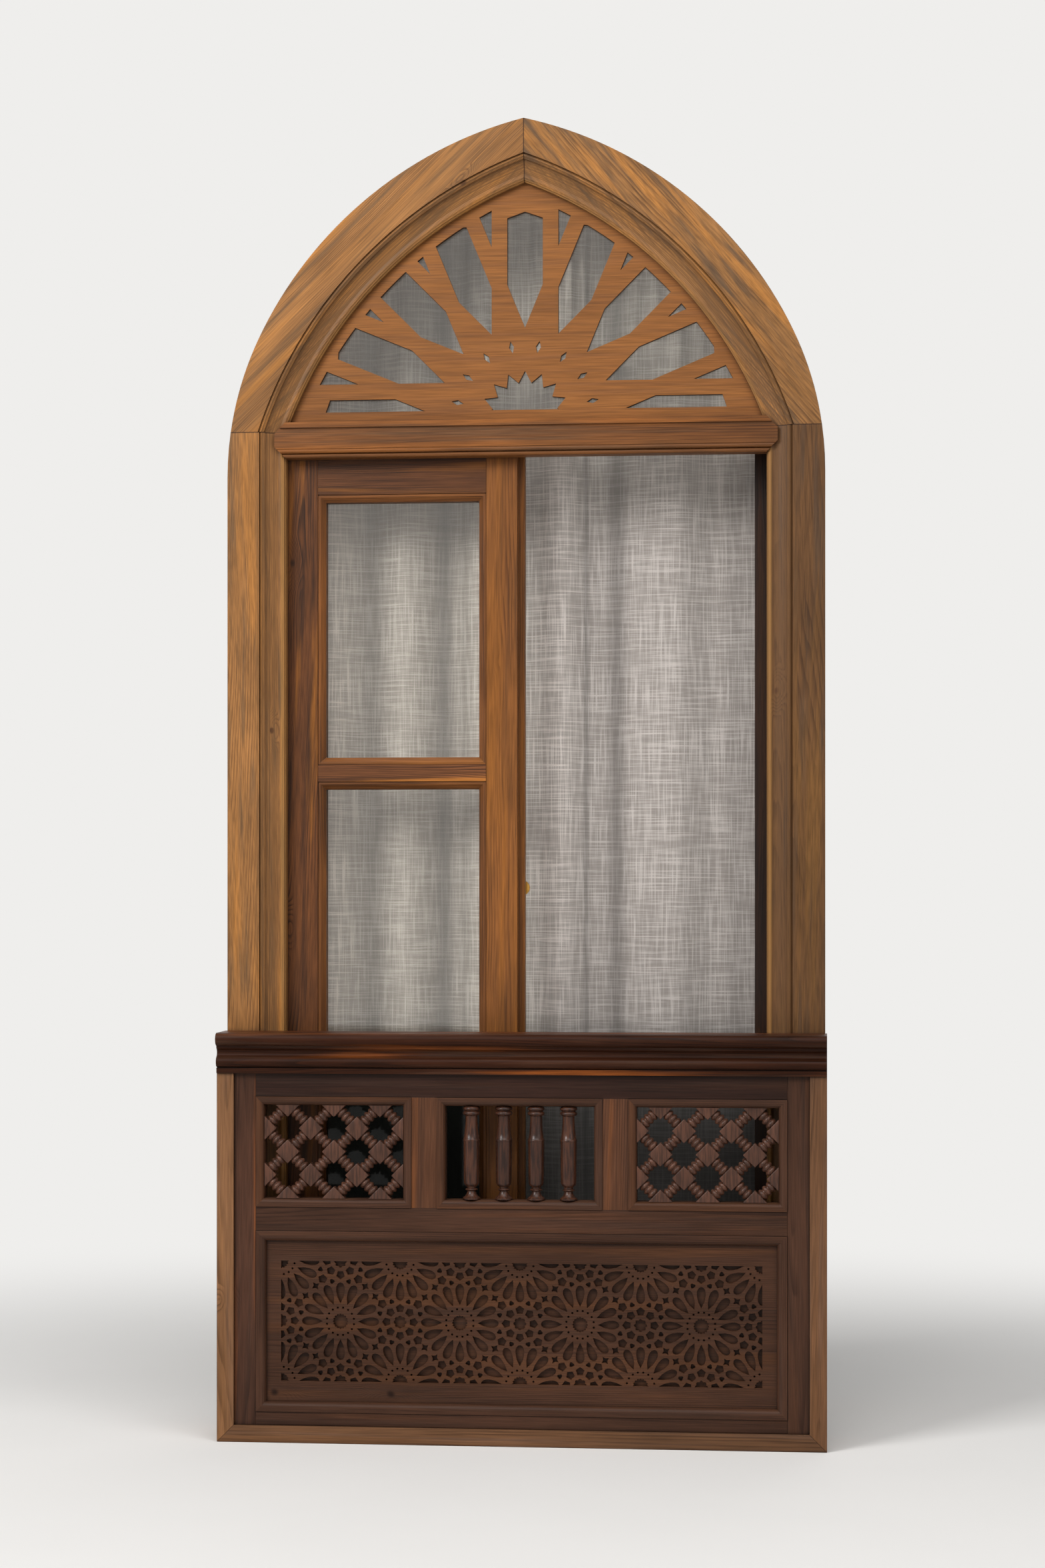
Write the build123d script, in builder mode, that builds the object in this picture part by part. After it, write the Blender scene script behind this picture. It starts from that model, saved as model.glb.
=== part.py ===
"""Pointed-arch casement window with a mashrabiya screen across its lower third.

Millimetres. X runs along the wall, Y into the room and Z up. The origin is on the
underside of the window, at its centre line and in the middle of the frame's depth.
"""
import os
from math import acos, asin, atan2, cos, degrees, hypot, radians, sin, sqrt, tan

from build123d import *

# The pine frame round the window
WINDOW_W = 855.0  # outside width
WINDOW_H = 1880.0  # underside to the point of the arch
FRAME_D = 68.0  # depth of the frame, front to back
BAND_W = 46.0  # flat outer band of the face
MOULDING_W = 36.5  # moulding between the band and the opening
MOULDING_DROP = 15.0  # depth that the moulding loses towards the opening
QUIRK_BEAD_W = 8.0  # bead beside the flat band
QUIRK_D = 3.0
SMALL_BEAD_W = 7.0  # bead beside the opening
MOULDING_STEP = 2.0
BEAD_SHY = 0.4  # the first bead's crown lies this much below the flat band
HOLLOW_SHARE = 0.45  # how far across the hollow its deepest curve lies
REBATE_W = 15.5  # width of the step that the casements shut against
LEAF_STOP_Y = -2.5  # front of that step
ARCH_H = 442.0  # from the jambs' joint with the arch to its point
HAUNCH_DROP = 65.0  # the outside starts to lean in this much below that joint
HAUNCH_R = 460.5  # radius of the outside just above that
HAUNCH_ARC = 25.4  # degrees that this first arc turns through
APEX_FACE = 88.0  # height of the face at the point of the arch
APEX_SLOPE = 21.0  # degrees between the opening's edge and level, at the point
FIXING_R = 4.5  # holes for the wall fixings, two to a jamb
FIXING_SPACING = 960.0
FIXING_Z = 720.0  # height of the point midway between them
FIXING_Y = 16.0

# The transom and the sill
TRANSOM_DROP = 37.0  # its underside lies this much below the jambs' joint
TRANSOM_H = 51.0
TRANSOM_Y = -31.0  # front of its upper lip
TRANSOM_POINT = 16.0  # how far each end is cut back, above and below
TRANSOM_LIP_H = 8.0
TRANSOM_BEAD_H = 6.5
TRANSOM_STEPS = [8.0, 5.0, 3.0]  # how far its two beads and its flat band lie behind the lip
SILL_H = 80.0
SILL_STEP = 10.0  # the sill is this much lower behind the casements' stop

# The fretted fanlight
FRET_T = 8.0
FRET_Y = -12.0  # front of the fret
FRET_CENTRE = 8.0  # the rays' centre lies this far below the cut-outs
FRET_FOOT = 16.0  # plain strip under the cut-outs
FRET_BORDER = 16.0  # plain strip along the arch
RAY_STEP = 22.5  # degrees between rays
PETAL_HALF = 25.5  # half the width of a petal-shaped cut-out
STRAP_W = 22.5  # straps between the cut-outs
PETAL_REACH = 291.0  # from the rays' centre to the far end of the longest cut-outs
PETAL_POINT = 9.0  # depth of the shallow point there
SEED_R = 99.0  # circle of the small leaf-shaped holes
SEED_L = 17.0
SEED_W = 7.0
HALF_STAR_TIP = 63.0
HALF_STAR_VALLEY = 47.0
GLASS_T = 4.0
FIT = 0.5  # clearance of a panel or pane in its rebate
STOP_T = 14.0  # strip that holds the fanlight's glass from behind
STOP_LAP = 2.0  # the strip stands this much into the opening

# The two casement leaves
LEAF_T = 36.0
LEAF_GAP = 2.0  # clearance of a leaf in the frame
HINGE_STILE_W = 57.0
MEETING_STILE_W = 45.0
LIP_W = 9.0  # rebated edge of the meeting stile
LIP_CLEARANCE = 1.0
MEETING_X = -12.0  # where the left leaf's front face ends
LEAF_RAIL_H = 60.0
LEAF_FOOT_H = 61.0
MUNTIN_H = 24.0
PANES = 3
BEAD_W = 11.0  # glazing bead
BEAD_RECESS = 1.5  # the beads lie this much below the leaf's faces
BEAD_SHARE = 0.62  # share of a bead's width that is rounded or bevelled
KNOB_R = 11.5
KNOB_L = 27.5
KNOB_NECK_R = 4.3
KNOB_NECK_L = 6.0
KNOB_ROSE_T = 3.0
KNOB_SHOULDER, KNOB_TIP = 0.8, 0.3  # shares of its radius, towards its end
KNOB_SIDES = 16
KNOB_Z = 784.0
KNOB_INSET = 6.5  # from the stile's edge to the knob's axis
HINGE_R = 4.0
HINGE_H = 76.0
HINGE_PLATE_W = 26.0
HINGE_PLATE_T = 2.5
HINGE_OFFSET = 8.0  # pin's distance from the leaf's edge
HINGE_LAP = 1.0  # the pin's web runs this far into the plate
HINGES = 3
HINGE_END = 190.0  # from the leaf's end to the nearest hinge
OPEN_ANGLE = 90.0  # the right leaf stands open into the room

# The screen's box and its cap
SCREEN_MARGIN = 2.5  # the box stands this much past the frame on each side
SCREEN_H = 579.0
BOX_D = 65.0
BOX_T = 24.0
CAP_H = 57.0
CAP_NOSE = 13.0  # how far the cap's nosing stands in front of the box
CAP_NOSE_H = 18.0
CAP_LIP_H = 4.0  # bevel under the nosing
CAP_BEAD_H = 14.0
CAP_GROOVE_H = 1.5
CAP_FILLET_H = 7.5
CAP_STEP = 3.0
PANEL_T = 28.0  # thickness of the framed panel
PANEL_RECESS = 5.0  # the panel's face lies this much behind the box's edges
STILE_W = 31.0
FOOT_RAIL_H = 19.0
LOWER_H = 256.0  # height of the star panel's opening
MID_RAIL_H = 34.0
UPPER_H = 156.0  # height of the three small openings
MULLION_W = 36.0
MIDDLE_W = 234.0  # width of the middle opening
UPPER_BEAD_W = 12.0
LOWER_BEAD_W = 14.5
BEAD_PROUD = 1.5
UPPER_BEAD_D = 25.0

# The turned lattices and balusters
LATTICE_STEP = 33.0  # half the distance between blocks in a row
BLOCK_W = 22.7
BLOCK_T = 16.0
RINGS = 3  # rings turned on each link
RING_R = 7.6
WAIST_R = 5.0
LINK_SIDES = 6
BALUSTERS = 4
BALUSTER_STEP = 45.8
# Radius and height of each step: up from the foot, and for the head down from the top
BALUSTER_BELL = [(12.4, 0), (12.4, 2.6), (7.2, 8.5), (5.9, 12.5)]
BALUSTER_RING = [(8.8, 14.6), (6.3, 16.8)]
BALUSTER_BODY = [(10.7, 24)]
BALUSTER_HEAD = [(11.8, 48), (9.9, 38), (8.5, 13.4), (12.4, 10.6), (9.6, 6.5), (12.4, 4), (10.4, 0)]
BALUSTER_SIDES = 12

# The star panel
STAR_REPEATS = 4
STAR_SIDE = 20.5  # plain margin at the ends
STAR_TOP = 28.5  # plain margin above and below
STAR_T = 11.0
STAR_POCKET = 6.0  # depth of the carved cells
STAR_RECESS = 8.0  # depth of the panel below the framed panel's face

# The curtain and its bent rail
RAIL_H = 12.0
RAIL_T = 5.0
RAIL_Y = 100.0  # middle of the rail
RAIL_OUT = 24.0  # from the opening's edge to the middle of the rail
BRACKETS = 3  # on each half
BRACKET_W = 8.0
BRACKET_T = 4.0
BRACKET_PLATE = 22.0
CURTAIN_T = 10.0  # thickness of the solid that stands for the folded linen
FOLDS = [4, -14, 12, -12, 14, -14, 10, -14, 14, -6, -12, 6, -2]  # depth of each ridge or hollow
CURTAIN_FREE = 19.3  # the curtain's open edge stops this far inside the opening
CURTAIN_HIDDEN = 8.0  # its other edge runs this far behind the left jamb
CURTAIN_FOOT = 30.0
SOFT_GAP = 0.3

# Worked out from the sizes above
half_w = WINDOW_W / 2
front_y = -FRAME_D / 2
back_y = FRAME_D / 2
sight_x = half_w - BAND_W - MOULDING_W
sight_y = front_y + MOULDING_DROP
rebate_x = sight_x + REBATE_W
joint_z = WINDOW_H - ARCH_H
haunch_z = joint_z - HAUNCH_DROP
transom_z = joint_z - TRANSOM_DROP
transom_top = transom_z + TRANSOM_H
apex_z = WINDOW_H - APEX_FACE
# The opening's edge is one arc on each side, from the joint to the point
chord = hypot(sight_x, apex_z - joint_z)
half_turn = degrees(atan2(apex_z - joint_z, sight_x)) - APEX_SLOPE
arch_r = chord / (2 * sin(radians(half_turn)))
arch_x = -arch_r * sin(radians(APEX_SLOPE))
arch_z = apex_z - arch_r * cos(radians(APEX_SLOPE))
ray_z = transom_top + FRET_FOOT - FRET_CENTRE
leaf_edge = rebate_x - LEAF_GAP
leaf_foot = SILL_H - SILL_STEP + LEAF_GAP
leaf_top = transom_z + SILL_STEP
leaf_front = LEAF_STOP_Y + FIT
leaf_back = leaf_front + LEAF_T
box_front = front_y - BOX_D
box_x = half_w + SCREEN_MARGIN
box_inner = box_x - BOX_T
panel_front = box_front + PANEL_RECESS
panel_back = panel_front + PANEL_T
panel_x = box_inner - STILE_W
cap_z = SCREEN_H - CAP_H
lower_z = BOX_T + FOOT_RAIL_H
mid_z = lower_z + LOWER_H
upper_z = mid_z + MID_RAIL_H
upper_top = upper_z + UPPER_H
middle_x = MIDDLE_W / 2
side_x = middle_x + MULLION_W
upper_mid_z = (upper_z + upper_top) / 2

os.makedirs("parts", exist_ok=True)


def save(piece, name):
    """Label a finished piece and write its file."""
    piece.part.label = name
    export_step(piece.part, f"parts/{name}.step")


def facing(y):
    """A plane seen from the front: its x runs along the wall and its y is up."""
    return Plane.XZ.offset(-y)


def middle(span):
    """The middle of a (low, high) pair."""
    return (span[0] + span[1]) / 2


def board(x, y, z):
    """A square-edged board between three (low, high) pairs."""
    with BuildPart() as piece:
        with BuildSketch(Plane.XY.offset(z[0])):
            with Locations((middle(x), middle(y))):
                Rectangle(x[1] - x[0], y[1] - y[0])
        extrude(amount=z[1] - z[0])
    return piece


def mirrored(piece):
    """The same piece on the other side of the window's centre line."""
    with BuildPart() as other:
        mirror(piece.part, about=Plane.YZ)
    return other


def turned(profile, sides):
    """A piece turned about Z, with few flat sides, from its (radius, height) profile.

    Its silhouette is the same from every side, so it is where the silhouettes meet.
    """
    outline = profile + [(-radius, height) for radius, height in reversed(profile)]
    with BuildPart() as piece:
        for n in range(sides // 2):
            turn = radians(n * 360 / sides)
            across, along = (cos(turn), sin(turn), 0), (sin(turn), -cos(turn), 0)
            with BuildSketch(Plane((0, 0, 0), x_dir=across, z_dir=along)):
                Polygon(*outline, align=None)
            reach = 2 * max(radius for radius, height in profile)
            extrude(amount=reach, both=True, mode=Mode.INTERSECT if n else Mode.ADD)
    return piece


def bevels(start, crown, end, count=2):
    """Points along the arc through three points, so that a few flat bevels follow it."""
    arc = ThreePointArc(start, crown, end, mode=Mode.PRIVATE)
    return [arc @ (n / count) for n in range(count + 1)]


def moulding_waste():
    """The waste in front of the frame's moulding.

    x runs from the opening's edge outwards and y from the frame's face inwards: a
    quirked bead by the flat band, a hollow, and a smaller bead by the opening.
    """
    bead, quirk, small_bead, step = QUIRK_BEAD_W, QUIRK_D, SMALL_BEAD_W, MOULDING_STEP
    hollow_top = MOULDING_W - bead
    hollow_foot = small_bead + 2 * step
    hollow_y = MOULDING_DROP - quirk
    hollow_x = hollow_foot + HOLLOW_SHARE * (hollow_top - hollow_foot)
    outside = -1.0
    with BuildSketch() as waste:
        with BuildLine():
            Polyline(
                (MOULDING_W, outside),
                *bevels(
                    (MOULDING_W, quirk), (MOULDING_W - bead / 2, BEAD_SHY), (hollow_top, quirk)
                ),
                *bevels(
                    (hollow_top, 2 * quirk),
                    (hollow_x, hollow_y - step / 2),
                    (hollow_foot, hollow_y),
                ),
                *bevels(
                    (step + small_bead, hollow_y),
                    (step + small_bead / 2, hollow_y - step),
                    (step, hollow_y),
                ),
                (step, MOULDING_DROP),
                (outside, MOULDING_DROP),
                (outside, outside),
                close=True,
            )
        make_face()
    return waste.sketch


def draw_arch(grow, foot_z):
    """The space under the arch above foot_z, with its curved sides moved out by grow."""
    with Locations((arch_x, arch_z)):
        Circle(arch_r + grow)
    with Locations((-arch_x, arch_z)):
        Circle(arch_r + grow, mode=Mode.INTERSECT)
    with Locations((0, (foot_z + WINDOW_H) / 2)):
        Rectangle(WINDOW_W, WINDOW_H - foot_z, mode=Mode.INTERSECT)


# Transom, with a lip along its top, a flat band and two beads along its foot
bead_y = [TRANSOM_Y + step for step in TRANSOM_STEPS]
with BuildPart() as transom:
    with BuildSketch(Plane.YZ.offset(-rebate_x)):
        with BuildLine():
            Polyline(
                (TRANSOM_Y, transom_top),
                (back_y, transom_top),
                (back_y, leaf_top + LEAF_GAP),
                (LEAF_STOP_Y, leaf_top + LEAF_GAP),
                (LEAF_STOP_Y, transom_z),
                (bead_y[0], transom_z),
            )
            for n in range(2):
                low = transom_z + n * TRANSOM_BEAD_H
                high = low + TRANSOM_BEAD_H
                crown = (bead_y[n] - TRANSOM_BEAD_H / 2, (low + high) / 2)
                ThreePointArc((bead_y[n], low), crown, (bead_y[n], high))
                Line((bead_y[n], high), (bead_y[n + 1], high))
            Polyline(
                (bead_y[2], transom_z + 2 * TRANSOM_BEAD_H),
                (bead_y[2], transom_top - TRANSOM_LIP_H),
                (TRANSOM_Y, transom_top - TRANSOM_LIP_H),
                (TRANSOM_Y, transom_top),
            )
        make_face()
    extrude(amount=2 * rebate_x)
    with BuildSketch(facing(front_y)):
        with Locations((0, transom_z + TRANSOM_H / 2)):
            Rectangle(2 * rebate_x, TRANSOM_H)
        chamfer(vertices(), TRANSOM_POINT)
    extrude(amount=-FRAME_D, mode=Mode.INTERSECT)
save(transom, "transom")

# Sill, lower behind the line that the casements shut against
with BuildPart() as sill:
    with BuildSketch(Plane.YZ.offset(-rebate_x)):
        with BuildLine():
            Polyline(
                (sight_y, 0),
                (back_y, 0),
                (back_y, SILL_H - SILL_STEP),
                (LEAF_STOP_Y, SILL_H - SILL_STEP),
                (LEAF_STOP_Y, SILL_H),
                (sight_y, SILL_H),
                close=True,
            )
        make_face()
    extrude(amount=2 * rebate_x)
save(sill, "sill")

# Right jamb: moulded in front, stepped behind for the casement, bored for wall fixings
with BuildPart() as right_jamb:
    with BuildSketch(facing(front_y)):
        with BuildLine():
            Polyline((sight_x, joint_z), (sight_x, 0), (half_w, 0), (half_w, haunch_z))
            haunch = JernArc((half_w, haunch_z), (0, 1), HAUNCH_R, HAUNCH_ARC)
            Polyline(haunch @ 1, (sight_x, (haunch @ 1).Y), (sight_x, joint_z))
        make_face()
    extrude(amount=-FRAME_D)
    split(bisect_by=Plane.XY.offset(joint_z), keep=Keep.BOTTOM)
    with BuildSketch(Plane((sight_x, front_y, -1))):
        add(moulding_waste())
    extrude(amount=joint_z + 2, mode=Mode.SUBTRACT)
    with BuildSketch(Plane.XY):
        with Locations((sight_x, LEAF_STOP_Y)):
            Rectangle(REBATE_W, back_y - LEAF_STOP_Y, align=(Align.MIN, Align.MIN))
    extrude(amount=joint_z, mode=Mode.SUBTRACT)
    with BuildSketch(Plane.YZ.offset(sight_x)):
        with Locations((FIXING_Y, FIXING_Z)):
            with GridLocations(0, FIXING_SPACING, 1, 2):
                Circle(FIXING_R)
    extrude(amount=half_w - sight_x, mode=Mode.SUBTRACT)
    add(transom.part, mode=Mode.SUBTRACT)
    add(sill.part, mode=Mode.SUBTRACT)
save(right_jamb, "right_jamb")
left_jamb = mirrored(right_jamb)
save(left_jamb, "left_jamb")

# Right half of the arch, with the jamb's moulding carried round it
with BuildPart() as arch_right:
    with BuildSketch(facing(front_y)):
        with BuildLine():
            Line((0, haunch_z), (half_w, haunch_z))
            haunch = JernArc((half_w, haunch_z), (0, 1), HAUNCH_R, HAUNCH_ARC)
            TangentArc(haunch @ 1, (0, WINDOW_H), tangent=haunch % 1)
            Line((0, WINDOW_H), (0, haunch_z))
        make_face()
        with Locations((arch_x, arch_z)):
            Circle(arch_r, mode=Mode.SUBTRACT)
    extrude(amount=-FRAME_D)
    split(bisect_by=Plane.XY.offset(joint_z), keep=Keep.TOP)
    with BuildSketch(Plane((arch_x + arch_r, front_y, arch_z))):
        add(moulding_waste())
    revolve(axis=Axis((arch_x, 0, arch_z), (0, 1, 0)), mode=Mode.SUBTRACT)
    with BuildSketch(facing(FRET_Y)):
        with Locations((arch_x, arch_z)):
            Circle(arch_r + REBATE_W)
    extrude(amount=FRET_Y - back_y, mode=Mode.SUBTRACT)
    add(transom.part, mode=Mode.SUBTRACT)
save(arch_right, "arch_right")
arch_left = mirrored(arch_right)
save(arch_left, "arch_left")

# Fretted board: straps on both sides of every ray leave petals and small triangles
strap_far = PETAL_HALF + STRAP_W
petal_tip = strap_far / sin(radians(RAY_STEP))
petal_shoulder = (strap_far + PETAL_HALF * cos(radians(RAY_STEP))) / sin(radians(RAY_STEP))
triangle_tip = strap_far / sin(radians(RAY_STEP / 2))
fret_angles = [RAY_STEP * n for n in range(round(180 / RAY_STEP) + 1)]
between_angles = [a + RAY_STEP / 2 for a in fret_angles[:-1]]
half_step = RAY_STEP / 2
with BuildPart() as fanlight_screen:
    with BuildSketch(facing(FRET_Y)) as fret:
        draw_arch(REBATE_W - FIT, transom_top)
        with BuildSketch(mode=Mode.PRIVATE) as petals:
            for angle in fret_angles:
                with Locations(Location((0, ray_z), angle)):
                    Polygon(
                        (petal_tip, 0),
                        (petal_shoulder, -PETAL_HALF),
                        (PETAL_REACH - PETAL_POINT, -PETAL_HALF),
                        (PETAL_REACH, 0),
                        (PETAL_REACH - PETAL_POINT, PETAL_HALF),
                        (petal_shoulder, PETAL_HALF),
                        align=None,
                    )
        with BuildSketch(mode=Mode.PRIVATE) as holes:
            add(petals.sketch)
            for angle in between_angles:
                reach = WINDOW_W
                rise = reach * tan(radians(half_step))
                with Locations(Location((0, ray_z), angle)):
                    Polygon(
                        (triangle_tip, 0),
                        (triangle_tip + reach, -rise),
                        (triangle_tip + reach, rise),
                        align=None,
                    )
                    Polygon(
                        (SEED_R - SEED_L / 2, 0),
                        (SEED_R, -SEED_W / 2),
                        (SEED_R + SEED_L / 2, 0),
                        (SEED_R, SEED_W / 2),
                        align=None,
                    )
            star = []
            for n in range(round(360 / RAY_STEP)):
                star.append((HALF_STAR_TIP, n * RAY_STEP))
                star.append((HALF_STAR_VALLEY, n * RAY_STEP + half_step))
            with Locations((0, ray_z)):
                Polygon(
                    *[(r * cos(radians(a)), r * sin(radians(a))) for r, a in star],
                    align=None,
                )
            draw_field = arch_r - FRET_BORDER
            with Locations((arch_x, arch_z)):
                Circle(draw_field, mode=Mode.INTERSECT)
            with Locations((-arch_x, arch_z)):
                Circle(draw_field, mode=Mode.INTERSECT)
            with Locations((0, transom_top + FRET_FOOT)):
                Rectangle(
                    WINDOW_W, WINDOW_H, align=(Align.CENTER, Align.MIN), mode=Mode.INTERSECT
                )
        add(holes.sketch, mode=Mode.SUBTRACT)
    extrude(amount=-FRET_T)
save(fanlight_screen, "fanlight_screen")

# Glass behind the fret, and the strip that holds both
glass_y = FRET_Y + FRET_T
with BuildPart() as fanlight_glass:
    with BuildSketch(facing(glass_y)):
        draw_arch(REBATE_W - FIT, transom_top)
    extrude(amount=-GLASS_T)
save(fanlight_glass, "fanlight_glass")

stop_y = glass_y + GLASS_T
with BuildPart() as fanlight_stop:
    with BuildSketch(facing(stop_y)):
        draw_arch(REBATE_W - FIT, transom_top)
        with BuildSketch(mode=Mode.PRIVATE) as daylight:
            draw_arch(-STOP_LAP, transom_top + STOP_T)
        add(daylight.sketch, mode=Mode.SUBTRACT)
    extrude(amount=-STOP_T)
save(fanlight_stop, "fanlight_stop")


def ring(x, z, front, depth, width, round_edge):
    """A bead mitred round an opening.

    round_edge rounds or bevels the front edge of its inside: a fillet or a chamfer.
    """
    with BuildPart() as bead:
        with BuildSketch(facing(front)):
            with Locations((middle(x), middle(z))):
                Rectangle(x[1] - x[0], z[1] - z[0])
                Rectangle(x[1] - x[0] - 2 * width, z[1] - z[0] - 2 * width, mode=Mode.SUBTRACT)
        extrude(amount=-depth)
        face = bead.faces().sort_by(Axis.Y)[0]
        round_edge(face.inner_wires()[0].edges(), width * BEAD_SHARE)
    return bead


def casement(width):
    """The parts of one leaf that is width wide at its front face.

    x runs from the hinge edge, y from the front face into the room and z is the
    window's own. The meeting stile's back half runs on as a lip.
    """
    height = (leaf_foot, leaf_top)
    inside = (HINGE_STILE_W, width - MEETING_STILE_W)
    hinge_stile = board((0, HINGE_STILE_W), (0, LEAF_T), height)
    with BuildPart() as meeting_stile:
        with BuildSketch(Plane.XY.offset(leaf_foot)):
            with BuildLine():
                Polyline(
                    (inside[1], 0),
                    (width, 0),
                    (width, LEAF_T / 2),
                    (width + LIP_W, LEAF_T / 2),
                    (width + LIP_W, LEAF_T),
                    (inside[1], LEAF_T),
                    close=True,
                )
            make_face()
        extrude(amount=leaf_top - leaf_foot)
    pane_h = leaf_top - leaf_foot - LEAF_RAIL_H - LEAF_FOOT_H - (PANES - 1) * MUNTIN_H
    pane_h = pane_h / PANES
    first = leaf_foot + LEAF_FOOT_H
    openings = []
    for n in range(PANES):
        foot = first + n * (pane_h + MUNTIN_H)
        openings.append((foot, foot + pane_h))
    with BuildPart() as rails:
        add(board(inside, (0, LEAF_T), (leaf_foot, first)).part)
        add(board(inside, (0, LEAF_T), (openings[-1][1], leaf_top)).part)
        for low, high in zip(openings, openings[1:]):
            add(board(inside, (0, LEAF_T), (low[1], high[0])).part)
    bead_d = (LEAF_T - GLASS_T) / 2 - BEAD_RECESS
    glass_y0 = BEAD_RECESS + bead_d
    with BuildPart() as beads:
        for opening in openings:
            outside = ring(inside, opening, BEAD_RECESS, bead_d, BEAD_W, chamfer)
            add(outside.part)
            mirror(outside.part, about=Plane.XZ.offset(-LEAF_T / 2))
    with BuildPart() as panes:
        for low, high in openings:
            pane_x = (inside[0] + FIT, inside[1] - FIT)
            add(board(pane_x, (glass_y0, glass_y0 + GLASS_T), (low + FIT, high - FIT)).part)
    return {
        "hinge_stile": hinge_stile,
        "meeting_stile": meeting_stile,
        "rails": rails,
        "beads": beads,
        "panes": panes,
    }


def set_casement(side, leaf, place):
    """Place every part of a leaf and write it under the leaf's name."""
    for name, piece in leaf.items():
        with BuildPart() as placed:
            with Locations(place):
                add(piece.part)
        save(placed, f"{side}_{name}")


# The left leaf is shut. The right one is turned about its pins, into the room
pin_x = leaf_edge + HINGE_OFFSET
pin_y = back_y + HINGE_R
left_w = leaf_edge + MEETING_X
right_w = leaf_edge - MEETING_X - LIP_W - LIP_CLEARANCE
shut_right = Location((leaf_edge, leaf_front + LEAF_T, 0), (0, 0, 180))
swing = (
    Location((pin_x, pin_y, 0))
    * Location((0, 0, 0), (0, 0, -OPEN_ANGLE))
    * Location((-pin_x, -pin_y, 0))
)
set_casement("left", casement(left_w), Location((-leaf_edge, leaf_front, 0)))
set_casement("right", casement(right_w), swing * shut_right)


def hinge(angle):
    """A butt hinge round its own pin: one plate on the frame, one turned by angle."""
    reach = HINGE_PLATE_W
    with BuildPart() as butt:
        with BuildSketch(Plane.XY.offset(-HINGE_H / 2)):
            Circle(HINGE_R)
            with Locations((0, -HINGE_R)):
                Rectangle(reach, HINGE_PLATE_T, align=(Align.MIN, Align.MIN))
            with Locations(Location((0, 0), -angle)):
                with Locations((-HINGE_OFFSET - reach / 2, leaf_back - pin_y)):
                    Rectangle(reach, HINGE_PLATE_T, align=(Align.CENTER, Align.MIN))
                with Locations((0, leaf_back - pin_y)):
                    web = HINGE_OFFSET + HINGE_LAP
                    Rectangle(web, HINGE_PLATE_T, align=(Align.MAX, Align.MIN))
        extrude(amount=HINGE_H)
    return butt


hinge_low = leaf_foot + HINGE_END
hinge_high = leaf_top - HINGE_END
hinge_zs = [hinge_low + n * (hinge_high - hinge_low) / (HINGES - 1) for n in range(HINGES)]
with BuildPart() as right_hinges:
    with Locations([(pin_x, pin_y, z) for z in hinge_zs]):
        add(hinge(OPEN_ANGLE).part)
save(right_hinges, "right_hinges")
with BuildPart() as left_hinges:
    shut_hinge = mirrored(hinge(0))
    with Locations([(-pin_x, pin_y, z) for z in hinge_zs]):
        add(shut_hinge.part)
save(left_hinges, "left_hinges")

# Brass knob on the room side of the left leaf's meeting stile
rose_r = KNOB_INSET - FIT
belly_y = (KNOB_NECK_L + KNOB_L) / 2
knob_profile = [
    (rose_r, 0),
    (rose_r, KNOB_ROSE_T),
    (KNOB_NECK_R, KNOB_ROSE_T),
    (KNOB_NECK_R, KNOB_NECK_L),
    (KNOB_R, belly_y),
    (KNOB_SHOULDER * KNOB_R, KNOB_L - KNOB_ROSE_T),
    (KNOB_TIP * KNOB_R, KNOB_L),
]
knob_at = (MEETING_X + LIP_W - KNOB_INSET, leaf_back, KNOB_Z)
with BuildPart() as leaf_knob:
    with Locations(Location(knob_at, (-90, 0, 0))):
        add(turned(knob_profile, KNOB_SIDES).part)
save(leaf_knob, "knob")

# Box of the screen: mitred boards round the sides and foot
box_boards = {
    "screen_left_board": [(-box_x, 0), (-box_inner, BOX_T), (-box_inner, cap_z), (-box_x, cap_z)],
    "screen_right_board": [(box_x, 0), (box_x, cap_z), (box_inner, cap_z), (box_inner, BOX_T)],
    "screen_bottom_board": [(-box_x, 0), (box_x, 0), (box_inner, BOX_T), (-box_inner, BOX_T)],
}
for name, corners in box_boards.items():
    with BuildPart() as box_board:
        with BuildSketch(facing(box_front)):
            Polygon(*corners, align=None)
        extrude(amount=-BOX_D)
    save(box_board, name)

# Cap: a round nosing over a cove, a bead and a narrow fillet
nose_r = CAP_NOSE_H / 2
nose_y = box_front - CAP_NOSE + nose_r
nose_foot = SCREEN_H - CAP_NOSE_H
step_y = box_front - CAP_STEP
groove_top = cap_z + CAP_FILLET_H + CAP_GROOVE_H
bead_top = groove_top + CAP_BEAD_H
cove_top = nose_foot - CAP_LIP_H
with BuildPart() as screen_cap:
    with BuildSketch(Plane.YZ.offset(-box_x)):
        with BuildLine():
            Polyline(
                (nose_y, SCREEN_H),
                (front_y, SCREEN_H),
                (front_y, cap_z),
                (step_y, cap_z),
                (step_y, cap_z + CAP_FILLET_H),
                (box_front, cap_z + CAP_FILLET_H),
                (box_front, groove_top),
                (step_y, groove_top),
            )
            ThreePointArc(
                (step_y, groove_top),
                (step_y - CAP_BEAD_H / 3, (groove_top + bead_top) / 2),
                (step_y, bead_top),
            )
            ThreePointArc(
                (step_y, bead_top),
                (box_front + CAP_STEP / 3, (bead_top + cove_top) / 2),
                (step_y, cove_top),
            )
            Line((step_y, cove_top), (nose_y, nose_foot))
            ThreePointArc((nose_y, nose_foot), (nose_y - nose_r, nose_foot + nose_r), (nose_y, SCREEN_H))
        make_face()
    extrude(amount=2 * box_x)
save(screen_cap, "screen_cap")

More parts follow.
